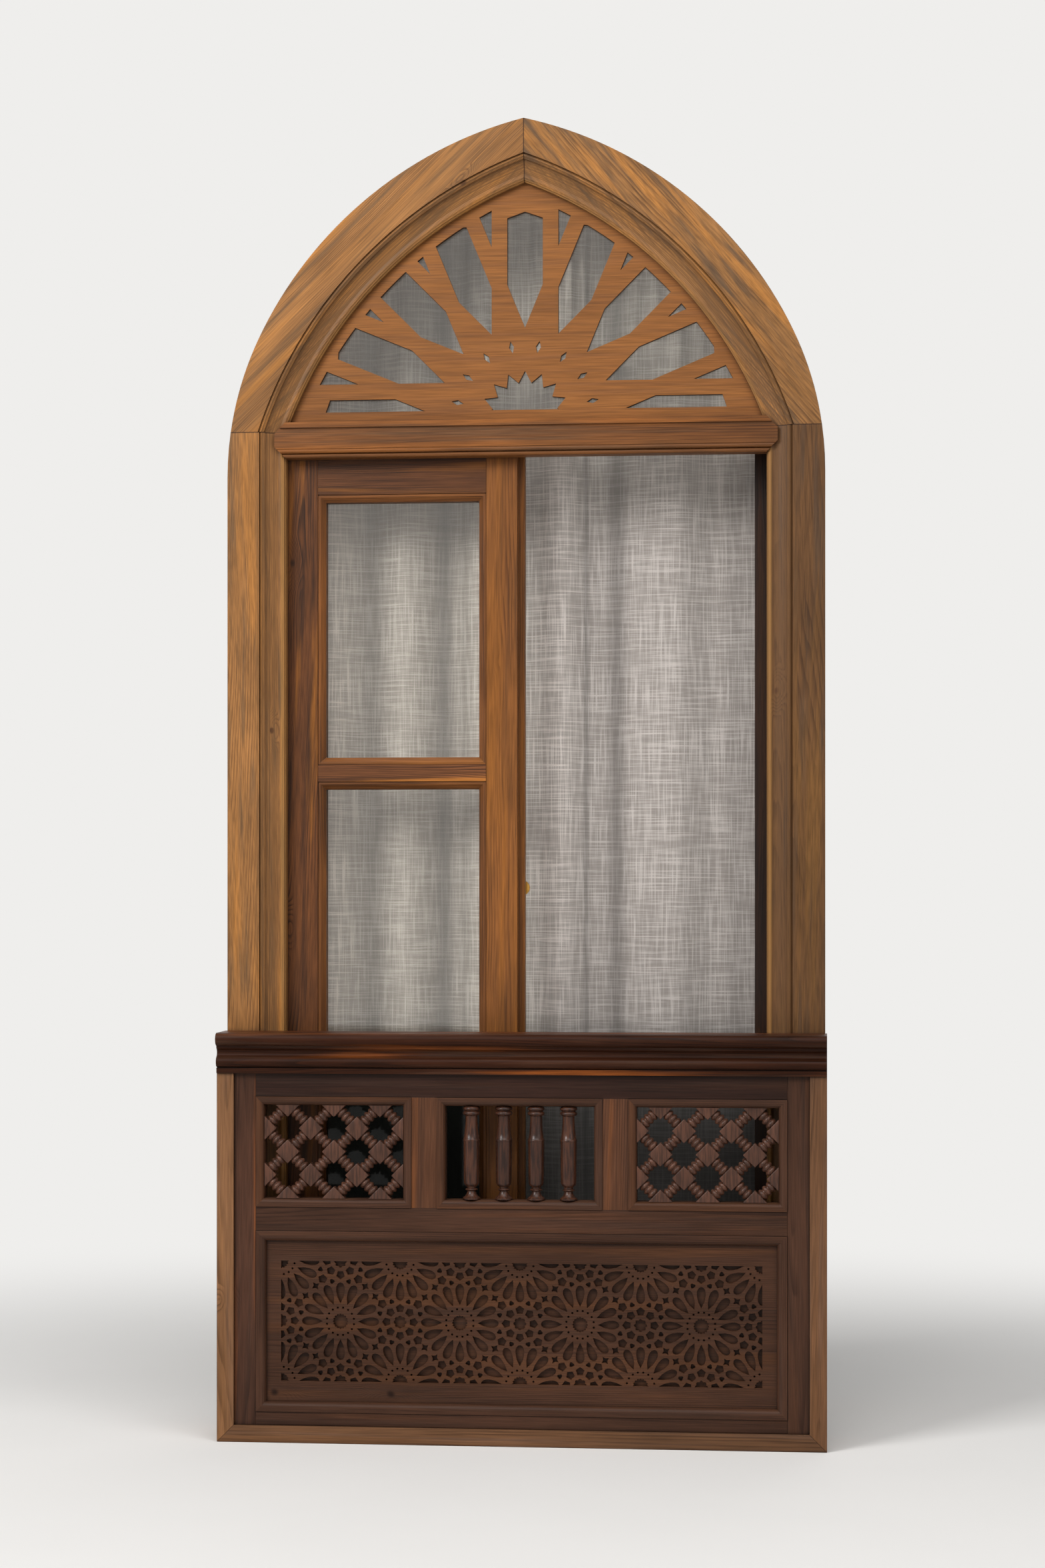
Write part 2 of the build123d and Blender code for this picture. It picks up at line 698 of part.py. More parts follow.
# Framed panel inside the box: stiles, rails and two mullions
panel_y = (panel_front, panel_back)
stile_z = (BOX_T, cap_z)
save(board((-box_inner, -panel_x), panel_y, stile_z), "screen_left_stile")
save(board((panel_x, box_inner), panel_y, stile_z), "screen_right_stile")
rail_x = (-panel_x, panel_x)
save(board(rail_x, panel_y, (BOX_T, lower_z)), "screen_bottom_rail")
save(board(rail_x, panel_y, (mid_z, upper_z)), "screen_mid_rail")
save(board(rail_x, panel_y, (upper_top, cap_z)), "screen_top_rail")
with BuildPart() as mullions:
    for mullion_x in ((-side_x, -middle_x), (middle_x, side_x)):
        add(board(mullion_x, panel_y, (upper_z, upper_top)).part)
save(mullions, "screen_mullions")

# Beads round the four openings
bead_front = panel_front - BEAD_PROUD
upper_opening = (upper_z, upper_top)
upper_rings = {
    "left_opening_bead": (-panel_x, -side_x),
    "middle_opening_bead": (-middle_x, middle_x),
    "right_opening_bead": (side_x, panel_x),
}
for name, span in upper_rings.items():
    save(ring(span, upper_opening, bead_front, UPPER_BEAD_D, UPPER_BEAD_W, fillet), name)
star_front = panel_front + STAR_RECESS
star_bead_d = star_front - bead_front
star_opening = (lower_z, mid_z)
star_bead = ring((-panel_x, panel_x), star_opening, bead_front, star_bead_d, LOWER_BEAD_W, fillet)
save(star_bead, "star_panel_bead")

# Turned link between two lattice blocks: a six-sided bar that swells into each ring
block_pitch = LATTICE_STEP * sqrt(2)
link_l = block_pitch - BLOCK_W
ring_l = link_l / RINGS
link_profile = [
    (RING_R if n % 2 else WAIST_R, n * ring_l / 2 - link_l / 2) for n in range(2 * RINGS + 1)
]
link = turned(link_profile, LINK_SIDES)

# Lattices in the side openings, cut off at the bead
side_w = panel_x - side_x - 2 * UPPER_BEAD_W
side_h = UPPER_H - 2 * UPPER_BEAD_W
side_mid = (panel_x + side_x) / 2
lattice_y = bead_front + UPPER_BEAD_D / 2
columns = int(side_w / 2 / LATTICE_STEP) + 1
rows = int(side_h / 2 / LATTICE_STEP) + 1
blocks = [
    (i * LATTICE_STEP, j * LATTICE_STEP)
    for i in range(-columns, columns + 1)
    for j in range(-rows, rows + 1)
    if (i + j) % 2 == 0
]
links = [
    Location(((i + 0.5) * LATTICE_STEP, 0, (j + 0.5) * LATTICE_STEP), (0, turn, 0))
    for i in range(-columns, columns)
    for j in range(-rows, rows)
    for turn in ([45] if (i + j) % 2 == 0 else [-45])
]
with BuildPart() as lattice:
    with BuildSketch(facing(-BLOCK_T / 2)):
        with Locations(blocks):
            Rectangle(BLOCK_W, BLOCK_W, rotation=45)
    extrude(amount=-BLOCK_T)
    with Locations(links):
        add(link.part)
    with BuildSketch(facing(-BLOCK_T)):
        Rectangle(side_w, side_h)
    extrude(amount=-2 * BLOCK_T, mode=Mode.INTERSECT)
for name, x in (("left_lattice", -side_mid), ("right_lattice", side_mid)):
    with BuildPart() as placed_lattice:
        with Locations((x, lattice_y, upper_mid_z)):
            add(lattice.part)
    save(placed_lattice, name)

# Turned baluster, from its foot up: a bell, a ring, a long body, a hollow neck and two discs
baluster_profile = BALUSTER_BELL + BALUSTER_RING + BALUSTER_BODY
baluster_profile += [(r, side_h - down) for r, down in BALUSTER_HEAD]
baluster = turned(baluster_profile, BALUSTER_SIDES)
baluster_xs = [(n - (BALUSTERS - 1) / 2) * BALUSTER_STEP for n in range(BALUSTERS)]
with BuildPart() as balusters:
    with Locations([(x, lattice_y, upper_z + UPPER_BEAD_W) for x in baluster_xs]):
        add(baluster.part)
save(balusters, "balusters")

# Star panel: carved with sixteen-fold stars and eight-fold rosettes between them.
# Every cell is a few-sided pocket, given by its distance from the centre that it
# belongs to and its size, in shares of the distance between two stars.
field_w = 2 * (panel_x - LOWER_BEAD_W - STAR_SIDE)
field_h = LOWER_H - 2 * LOWER_BEAD_W - 2 * STAR_TOP
star_pitch = min(field_w / STAR_REPEATS, field_h)
field_z = (lower_z + mid_z) / 2
PETAL = [(0.156, 0), (0.255, 0.031), (0.322, 0.014)]
DISC = 0.063
OCTAGON = 0.037
SHIELD_AT, SHIELD_R = 0.1135, 0.031
PENTAGON_AT, PENTAGON_R = 0.210, 0.034


def star_cells():
    """Pockets of one sixteen-fold star, drawn about the origin."""
    RegularPolygon(DISC * star_pitch, 8)
    petal = PETAL + [(r, -w) for r, w in reversed(PETAL[1:])]
    for n in range(16):
        with Locations(Location((0, 0), n * 22.5)):
            Polygon(*[(r * star_pitch, w * star_pitch) for r, w in petal], align=None)


def rosette_cells():
    """Pockets of one eight-fold rosette, drawn about the origin."""
    RegularPolygon(OCTAGON * star_pitch, 8)
    for n in range(8):
        with Locations(Location((0, 0), 45 * n)):
            with Locations((SHIELD_AT * star_pitch, 0)):
                RegularPolygon(SHIELD_R * star_pitch, 4)
    for n in range(4):
        with Locations(Location((0, 0), 45 + 90 * n)):
            with Locations((PENTAGON_AT * star_pitch, 0)):
                RegularPolygon(PENTAGON_R * star_pitch, 5)


with BuildSketch() as star_motif:
    star_cells()
with BuildSketch() as rosette_motif:
    rosette_cells()
half_count = STAR_REPEATS / 2
mid_row = [(n + 0.5 - half_count) * star_pitch for n in range(STAR_REPEATS)]
edge_row = [(n - half_count) * star_pitch for n in range(STAR_REPEATS + 1)]
edge_zs = (-star_pitch / 2, star_pitch / 2)
star_places = [(x, 0) for x in mid_row] + [(x, z) for x in edge_row for z in edge_zs]
rosette_places = [(x, 0) for x in edge_row] + [(x, z) for x in mid_row for z in edge_zs]
star_board = board(
    (-panel_x + FIT, panel_x - FIT), (star_front, star_front + STAR_T), (lower_z + FIT, mid_z - FIT)
)
with BuildPart() as star_panel:
    add(star_board.part)
    with BuildSketch(facing(star_front)):
        with Locations([(x, z + field_z) for x, z in star_places]):
            add(star_motif.sketch)
        with Locations([(x, z + field_z) for x, z in rosette_places]):
            add(rosette_motif.sketch)
        with Locations((0, field_z)):
            Rectangle(STAR_REPEATS * star_pitch, star_pitch, mode=Mode.INTERSECT)
    extrude(amount=-STAR_POCKET, mode=Mode.SUBTRACT)
save(star_panel, "star_panel")

# Flat rail bent to the arch, on brackets behind the frame
rail_r = arch_r + RAIL_OUT
rail_start = degrees(asin((joint_z - arch_z) / rail_r))
rail_end = degrees(acos(-arch_x / rail_r))
bracket_step = (rail_end - rail_start) / BRACKETS
with BuildPart() as curtain_rail:
    with BuildSketch(facing(RAIL_Y - RAIL_T / 2)):
        draw_arch(RAIL_OUT + RAIL_H / 2, joint_z)
        with BuildSketch(mode=Mode.PRIVATE) as under_rail:
            draw_arch(RAIL_OUT - RAIL_H / 2, joint_z)
        add(under_rail.sketch, mode=Mode.SUBTRACT)
    extrude(amount=-RAIL_T)
    for n in range(BRACKETS):
        turn = rail_start + (n + 0.25) * bracket_step
        spot_x = arch_x + rail_r * cos(radians(turn))
        spot_z = arch_z + rail_r * sin(radians(turn))
        for place in (Location((spot_x, spot_z), turn), Location((-spot_x, spot_z), -turn)):
            with BuildSketch(facing(back_y)):
                with Locations(place):
                    Rectangle(BRACKET_T, BRACKET_W)
            extrude(amount=back_y - RAIL_Y)
            with BuildSketch(facing(back_y)):
                with Locations(place):
                    Rectangle(BRACKET_PLATE, BRACKET_W + BRACKET_T)
            extrude(amount=-HINGE_PLATE_T)
save(curtain_rail, "curtain_rail")

# Linen curtain: its main folds, under the bent rail
curtain_x = (-sight_x - CURTAIN_HIDDEN, sight_x - CURTAIN_FREE)
fold_step = (curtain_x[1] - curtain_x[0]) / (len(FOLDS) - 1)
ridges = [(curtain_x[0] + n * fold_step, RAIL_Y + depth) for n, depth in enumerate(FOLDS)]
with BuildPart() as curtain:
    with BuildSketch(Plane.XY.offset(CURTAIN_FOOT)):
        Polygon(
            *[(x, y - CURTAIN_T / 2) for x, y in ridges],
            *[(x, y + CURTAIN_T / 2) for x, y in reversed(ridges)],
            align=None,
        )
    extrude(amount=WINDOW_H - CURTAIN_FOOT)
    with BuildSketch(facing(back_y)):
        draw_arch(RAIL_OUT - RAIL_H / 2 - SOFT_GAP, joint_z)
        with Locations((0, joint_z)):
            Rectangle(WINDOW_W, joint_z, align=(Align.CENTER, Align.MAX))
    extrude(amount=-2 * RAIL_Y, mode=Mode.INTERSECT)
save(curtain, "curtain")
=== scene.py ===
# %% [markdown]
# # A pointed-arch casement window with a mashrabiya screen
#
# The window is about 0.86 m wide and 1.88 m high. A moulded pine frame holds a fretted
# fanlight over two casement leaves, and a dark stained screen of turned lattice, turned
# balusters and carved stars closes its lower third. A linen curtain hangs behind.
#
# The solid model already has the right size and shape for every straight joiner's piece.
# So those pieces stay, and here they get rounded edges and real timber. The turned, carved
# and woven pieces are made again, finer than the solid model has them.

# %% Load the window as a fixed frame
from math import cos, exp, pi, radians, sin, sqrt

import bmesh
import bpy
from mathutils import Euler, Matrix, Vector


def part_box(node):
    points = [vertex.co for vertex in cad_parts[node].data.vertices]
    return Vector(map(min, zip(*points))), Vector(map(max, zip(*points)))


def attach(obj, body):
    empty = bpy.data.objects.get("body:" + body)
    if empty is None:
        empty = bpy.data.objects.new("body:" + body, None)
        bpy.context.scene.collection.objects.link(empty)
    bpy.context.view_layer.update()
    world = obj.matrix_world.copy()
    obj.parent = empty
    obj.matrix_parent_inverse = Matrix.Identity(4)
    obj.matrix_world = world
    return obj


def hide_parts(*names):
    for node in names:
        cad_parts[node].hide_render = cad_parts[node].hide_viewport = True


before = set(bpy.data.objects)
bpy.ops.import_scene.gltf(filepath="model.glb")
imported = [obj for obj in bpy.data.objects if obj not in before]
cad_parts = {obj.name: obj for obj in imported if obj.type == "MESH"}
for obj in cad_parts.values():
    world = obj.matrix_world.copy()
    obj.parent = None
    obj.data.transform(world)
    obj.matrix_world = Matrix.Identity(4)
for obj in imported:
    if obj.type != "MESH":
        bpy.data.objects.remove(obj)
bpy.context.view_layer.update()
MM = 0.001

# %% [markdown]
# ## Colours and shader nodes
#
# Stains are given as they would be on a paint chart, in sRGB hex. Blender mixes light, so
# each one is turned to linear values first. Every shader below is built with one helper,
# which adds a node, sets it up and joins its wires. That keeps a long shader readable.
# Three more start a finish, give it to a solid piece and look up where a piece is.
#
# Some sockets share a name and go by number. A Mix node has its share at 0, two vectors at
# 4 and 5 and two colours at 6 and 7. Its vector comes out at 1 and its colour at 2.

# %% A stain from the chart
def stain(chip):
    """The linear colour of an sRGB hex value."""
    parts = [int(chip[n:n + 2], 16) / 255 for n in (1, 3, 5)]
    return [p / 12.92 if p <= 0.04045 else ((p + 0.055) / 1.055) ** 2.4 for p in parts] + [1.0]


print("walnut stain is", [round(v, 3) for v in stain("#4e3529")])

# %% Add one shader node
def add(tree, kind, wires=None, stops=None, **settings):
    """A new node with its settings. A wire is a plain value or another node's output."""
    # A colour ramp comes with two stops, so the first two given move those, and others follow
    made = tree.nodes.new("ShaderNode" + kind)
    for name, value in settings.items():
        setattr(made, name, value)
    for socket, value in (wires or {}).items():
        if isinstance(value, bpy.types.NodeSocket):
            tree.links.new(value, made.inputs[socket])
        else:
            made.inputs[socket].default_value = value
    for n, (place, colour) in enumerate(stops or []):
        point = made.color_ramp.elements[n] if n < 2 else made.color_ramp.elements.new(place)
        point.position, point.color = place, colour
    return made


# %% Start a finish
def new_finish(name):
    """An empty finish, its node tree and its main shader."""
    finish = bpy.data.materials.new(name)
    finish.use_nodes = True
    return finish, finish.node_tree, finish.node_tree.nodes["Principled BSDF"]


def dress(node, finish):
    """Gives a solid piece of the window its finish."""
    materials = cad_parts[node].data.materials
    materials.clear()
    materials.append(finish)


def corners_of(node):
    """The lowest and the highest corner of a solid piece of the window."""
    low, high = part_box(node)
    return Vector(low), Vector(high)


print("the transom goes from", *corners_of("transom"))

# %% [markdown]
# ## Pine, sawn and stained
#
# Pine has wide pale spring wood and thin dark summer wood in each year's ring. A board's
# figure is the place where its face cuts those rings: straight lines on a face that runs
# out from the heart of the tree, and nested arches on one that touches the rings. The
# shader does the same. It measures how far a point lies from the tree's heart, wanders
# that distance a little, and colours it ring by ring. A stain colours spring wood more
# than summer wood, so the figure gets bolder, and a satin varnish goes over it.
#
# An image of wood would need to be fitted to each board. Rings in space need no fitting,
# and they run round an edge to the next face as they do in real timber. All sizes in the
# shader are millimetres of wood.

# %% Rings round the heart of the tree
def tree_rings(tree, board, ring, wander, knots, to_board):
    """How far each point lies through its ring, from 0 to 1, and how near it is to a knot."""
    # The heart wanders over 55 mm, ripples are 7 mm wide, and good years come each 21 mm
    slow = add(tree, "VectorMath", {0: board, 1: (1, 1, 0.1)}, operation="MULTIPLY")
    drift = add(tree, "TexNoise", {"Vector": slow.outputs[0], "Scale": 1 / 55, "Detail": 2.0})
    wide = (wander,) * 3
    drift = add(tree, "VectorMath", {0: drift.outputs["Color"], 1: wide}, operation="MULTIPLY")
    bent = add(tree, "VectorMath", {0: board, 1: drift.outputs[0]}, operation="ADD")
    across = add(tree, "VectorMath", {0: bent.outputs[0], 1: (1, 1, 0)}, operation="MULTIPLY")
    reach = add(tree, "VectorMath", {0: across.outputs[0]}, operation="LENGTH").outputs["Value"]
    thin = add(tree, "VectorMath", {0: board, 1: (1, 1, 0.03)}, operation="MULTIPLY")
    ripple = add(tree, "TexNoise", {"Vector": thin.outputs[0], "Scale": 1 / 7, "Detail": 3.0})
    reach = add(
        tree, "Math", {0: ripple.outputs[0], 1: 0.55 * ring, 2: reach}, operation="MULTIPLY_ADD"
    )
    seasons = add(tree, "TexNoise", {"W": reach.outputs[0], "Scale": 1 / 21}, noise_dimensions="1D")
    reach = add(
        tree, "Math", {0: seasons.outputs[0], 1: 2.5 * ring, 2: reach.outputs[0]},
        operation="MULTIPLY_ADD",
    )
    nearest = None
    for x, y, z, size in knots:
        spot = to_board @ Vector((x, y, z))
        away = add(tree, "VectorMath", {0: bent.outputs[0], 1: spot}, operation="SUBTRACT")
        long_way = (1, 0.6, 0.42)
        flow = add(tree, "VectorMath", {0: away.outputs[0], 1: long_way}, operation="MULTIPLY")
        flow = add(tree, "VectorMath", {0: flow.outputs[0]}, operation="LENGTH")
        push = add(
            tree, "MapRange",
            {"Value": flow.outputs["Value"], "From Min": 0.6 * size, "From Max": 4 * size,
             "To Min": 2.6 * size, "To Max": 0.0},
            interpolation_type="SMOOTHERSTEP",
        )
        reach = add(tree, "Math", {0: reach.outputs[0], 1: push.outputs[0]}, operation="ADD")
        oval = (1, 0.3, 0.8)
        eye = add(tree, "VectorMath", {0: away.outputs[0], 1: oval}, operation="MULTIPLY")
        eye = add(tree, "VectorMath", {0: eye.outputs[0]}, operation="LENGTH")
        dark = add(
            tree, "MapRange",
            {"Value": eye.outputs["Value"], "From Min": 0.5 * size, "From Max": 1.25 * size,
             "To Min": 1.0, "To Max": 0.0},
            interpolation_type="SMOOTHSTEP",
        )
        nearest = dark if nearest is None else add(
            tree, "Math", {0: nearest.outputs[0], 1: dark.outputs[0]}, operation="MAXIMUM"
        )
    turns = add(tree, "Math", {0: reach.outputs[0], 1: ring}, operation="DIVIDE")
    part_ring = add(tree, "Math", {0: turns.outputs[0]}, operation="FRACT")
    return part_ring.outputs[0], nearest.outputs[0] if nearest else None


# %% Streaks along the grain
def long_noise(tree, board, width, length, detail=4.0):
    """Noise in spots of this width and length in millimetres, drawn out along the board."""
    drawn_out = add(tree, "VectorMath", {0: board, 1: (1, 1, width / length)}, operation="MULTIPLY")
    return add(
        tree, "TexNoise", {"Vector": drawn_out.outputs[0], "Scale": 1 / width, "Detail": detail}
    ).outputs[0]


def streaks(tree, board, width, length, low, high, most):
    """Long streaks: 0 where the noise is below one level, and the most above another."""
    return add(
        tree, "MapRange",
        {"Value": long_noise(tree, board, width, length), "From Min": low, "From Max": high,
         "To Max": most},
        interpolation_type="SMOOTHSTEP",
    ).outputs[0]


# %% [markdown]
# A board is seldom one tone. Long streaks of grey and of warm flame run through it, the
# fibres are finer than the rings, and stain takes in clouds as wide as a hand. Corners are
# painted darker, for the dirt that stays there and for the shade that falls there, where a
# wall or a neighbouring board hides part of the open sky. That is what the Ambient
# Occlusion node measures. Satin varnish keeps the shine low and soft.

# %% Stained pine
MUNTIN_GAIN = 1.7  # how much brighter a board is below its lit_below height


def stained_pine(name, tone, lean, heart, knots=(), mitre=None, **changes):
    """Pine whose grain runs up a board, or along where the board leans, given in degrees."""
    look = {**TONES[tone], **changes}
    finish, tree, varnish = new_finish(name)
    place = add(tree, "TexCoord").outputs["Object"]
    if mitre:
        place = mitred_place(tree, place, *mitre)
    turn = Euler([radians(a) for a in lean])
    board = add(
        tree, "Mapping", {"Vector": place, "Location": heart, "Rotation": turn, "Scale": (MM,) * 3},
        vector_type="TEXTURE",
    ).outputs[0]
    to_board = Matrix.LocRotScale(Vector(heart), turn, Vector((MM,) * 3)).inverted()
    late, knot = tree_rings(tree, board, look["ring"], look["wander"], knots, to_board)
    figure = add(
        tree, "ValToRGB", {"Fac": late},
        stops=[(0.0, (0, 0, 0, 1)), (1.0, (0.05, 0.05, 0.05, 1)), (0.45, (0.12, 0.12, 0.12, 1)),
               (0.78, (0.75, 0.75, 0.75, 1)), (0.93, (1, 1, 1, 1))],
    )
    bold = streaks(tree, board, 30, 260, 0.36, 0.62, look["bold"])
    rings = add(tree, "Math", {0: figure.outputs[0], 1: bold}, operation="MULTIPLY")
    wood = add(
        tree, "Mix", {0: rings.outputs[0], 6: stain(look["spring"]), 7: stain(look["summer"])},
        data_type="RGBA",
    )
    grey = streaks(tree, board, 9, 300, 0.46, 0.7, look["grey_share"])
    wood = add(tree, "Mix", {0: grey, 6: wood.outputs[2], 7: stain(look["grey"])}, data_type="RGBA")
    flame = streaks(tree, board, 22, 560, 0.5, 0.68, look["flame_share"])
    wood = add(
        tree, "Mix", {0: flame, 6: wood.outputs[2], 7: stain(look["flame"])}, data_type="RGBA"
    )
    fibre = long_noise(tree, board, 1.6, 60, 5.0)
    shade = add(
        tree, "MapRange", {"Value": fibre, "From Min": 0.3, "From Max": 0.7,
                           "To Min": 1 - look["fibre"], "To Max": 1 + 0.6 * look["fibre"]},
    )
    cloud = long_noise(tree, board, 90, 300, 3.0)
    blotch = add(
        tree, "MapRange", {"Value": cloud, "From Min": 0.3, "From Max": 0.7,
                           "To Min": 1 - look["blotch"], "To Max": 1 + look["blotch"]},
    )
    shade = add(tree, "Math", {0: shade.outputs[0], 1: blotch.outputs[0]}, operation="MULTIPLY")
    if look.get("lit_below"):
        height = add(tree, "SeparateXYZ", {0: place}).outputs[2]
        lit = add(
            tree, "MapRange", {"Value": height, "From Min": look["lit_below"] - 0.01,
                               "From Max": look["lit_below"], "To Min": MUNTIN_GAIN, "To Max": 1.0},
        )
        shade = add(tree, "Math", {0: shade.outputs[0], 1: lit.outputs[0]}, operation="MULTIPLY")
    shade = add(tree, "CombineXYZ", {n: shade.outputs[0] for n in range(3)})
    wood = add(tree, "VectorMath", {0: wood.outputs[2], 1: shade.outputs[0]}, operation="MULTIPLY")
    colour = wood.outputs[0]
    if knot:
        heartwood = add(tree, "Math", {0: knot, 1: 0.9}, operation="MULTIPLY")
        colour = add(
            tree, "Mix", {0: heartwood.outputs[0], 6: colour, 7: stain(look["knot"])},
            data_type="RGBA",
        ).outputs[2]
    if look.get("burnt"):
        colour = burnt_edges(tree, colour, look["burnt"])
    if look.get("moulded"):
        colour = moulding_tone(tree, place, colour, look["moulded"] == "arch")
    for axis, spot in look.get("joints", ()):
        colour = joint_line(tree, place, colour, axis, spot)
    # Painted shade and dirt: corners and creases mix towards the crease colour
    open_sky = add(tree, "AmbientOcclusion", {"Distance": 7 * MM}, samples=4, only_local=False)
    crease_dirt_and_shade = add(
        tree, "MapRange", {"Value": open_sky.outputs["AO"], "From Min": 0.35, "From Max": 0.85,
                           "To Min": look["dirt"], "To Max": 0.0},
    )
    colour = add(
        tree, "Mix", {0: crease_dirt_and_shade.outputs[0], 6: colour, 7: stain(look["crease_dirt_and_shade"])}, data_type="RGBA"
    ).outputs[2]
    tree.links.new(colour, varnish.inputs["Base Color"])
    dull = add(
        tree, "MapRange", {"Value": fibre, "To Min": look["satin"] - 0.07,
                           "To Max": look["satin"] + 0.09},
    )
    tree.links.new(dull.outputs[0], varnish.inputs["Roughness"])
    relief = add(tree, "Math", {0: rings.outputs[0], 1: 0.7, 2: fibre}, operation="MULTIPLY_ADD")
    bump = add(tree, "Bump", {"Height": relief.outputs[0], "Strength": 0.35, "Distance": 0.25 * MM})
    tree.links.new(bump.outputs[0], varnish.inputs["Normal"])
    varnish.inputs["Specular IOR Level"].default_value = look["sheen"]
    return finish


# %% [markdown]
# A glazing bead is four lengths of pine, mitred at the corners, and the solid model has
# them as one piece. Their grain turns at each mitre. One way is to cut the piece in four.
# The shader can also do it: past the mitre line the coordinates swap, so the same rings
# run along the other length.

# %% Turn the grain at a mitre
def mitred_place(tree, place, mid_x, mid_z, half_w, half_h, pitch, plane):
    """Object coordinates whose X or Y and Z swap on the level lengths of a mitred frame."""
    axis = add(tree, "SeparateXYZ", {0: place})
    side = axis.outputs["X" if plane == "XZ" else "Y"]
    side_off = add(tree, "Math", {0: side, 1: mid_x}, operation="SUBTRACT")
    side_off = add(tree, "Math", {0: side_off.outputs[0]}, operation="ABSOLUTE")
    side_off = add(tree, "Math", {0: side_off.outputs[0], 1: half_w}, operation="SUBTRACT")
    rise = add(tree, "Math", {0: axis.outputs["Z"], 1: mid_z}, operation="SUBTRACT")
    if pitch:
        half = pitch / 2
        rise = add(tree, "Math", {0: rise.outputs[0], 1: half, 2: -half}, operation="WRAP")
    rise = add(tree, "Math", {0: rise.outputs[0]}, operation="ABSOLUTE")
    rise = add(tree, "Math", {0: rise.outputs[0], 1: half_h}, operation="SUBTRACT")
    level = add(
        tree, "Math", {0: rise.outputs[0], 1: side_off.outputs[0]}, operation="GREATER_THAN"
    )
    swapped = (2, 1, 0) if plane == "XZ" else (0, 2, 1)
    turned = add(tree, "CombineXYZ", {n: axis.outputs[old] for n, old in enumerate(swapped)})
    return add(
        tree, "Mix", {0: level.outputs[0], 4: place, 5: turned.outputs[0]}, data_type="VECTOR"
    ).outputs[1]


# %% [markdown]
# The fretwork was cut by a hot, fast tool that scorched the wood. Only the cut faces are
# dark, and those are the ones that don't look forwards or back.

# %% Burn the cut edges
def burnt_edges(tree, colour, char):
    """Darkens the faces that look sideways, as a cut-out's edges do."""
    facing = add(tree, "SeparateXYZ", {0: add(tree, "TexCoord").outputs["Normal"]})
    facing = add(tree, "Math", {0: facing.outputs[1]}, operation="ABSOLUTE")
    char_share = add(
        tree, "MapRange", {"Value": facing.outputs[0], "From Min": 0.2, "From Max": 0.75,
                           "To Min": 0.85, "To Max": 0.0},
    )
    return add(
        tree, "Mix", {0: char_share.outputs[0], 6: colour, 7: stain(char)}, data_type="RGBA"
    ).outputs[2]


# %% [markdown]
# Where two boards meet end to end, the joint has filled with glue and dirt, and it shows as
# a thin dark line. There is no gap to model, so the shader draws the line at the joint's
# plane.

# %% Draw a joint
def joint_line(tree, place, colour, axis, spot):
    """Darkens a board within a millimetre of a plane across X or Z."""
    along = add(tree, "SeparateXYZ", {0: place}).outputs[axis]
    away = add(tree, "Math", {0: along, 1: spot}, operation="SUBTRACT")
    away = add(tree, "Math", {0: away.outputs[0]}, operation="ABSOLUTE")
    near = add(
        tree, "MapRange", {"Value": away.outputs[0], "From Min": 0.4 * MM, "From Max": 1.1 * MM,
                           "To Min": 0.8, "To Max": 0.0},
    )
    return add(
        tree, "Mix", {0: near.outputs[0], 6: colour, 7: stain("#2a180d")}, data_type="RGBA"
    ).outputs[2]


# %% [markdown]
# The frame's moulding was cut with many passes of a plane, so fine lines run along it and
# round the arch. The shader paints them darker than the flat band, and paints the bead at
# the opening lighter. The shader measures how far a point lies in from the frame's
# outer edge, which is a circle on the arch, so the lines follow the edge everywhere.

# %% Tone of the moulding
HALF_WIDTH = 0.43  # of the whole frame
ARCH_X, ARCH_Z = 0.2116, 1.2406  # an arc's centre lies this far past the middle, and this high
ARCH_R = 0.6713  # of the arch's outer edge
LINED = (42.0, 47.0, 74.0, 77.0)  # mm in: where the lines begin, are full, thin out and end
BEAD_FROM, BEAD_FULL = 77.0, 79.0  # mm in: where the lighter bead begins and is full
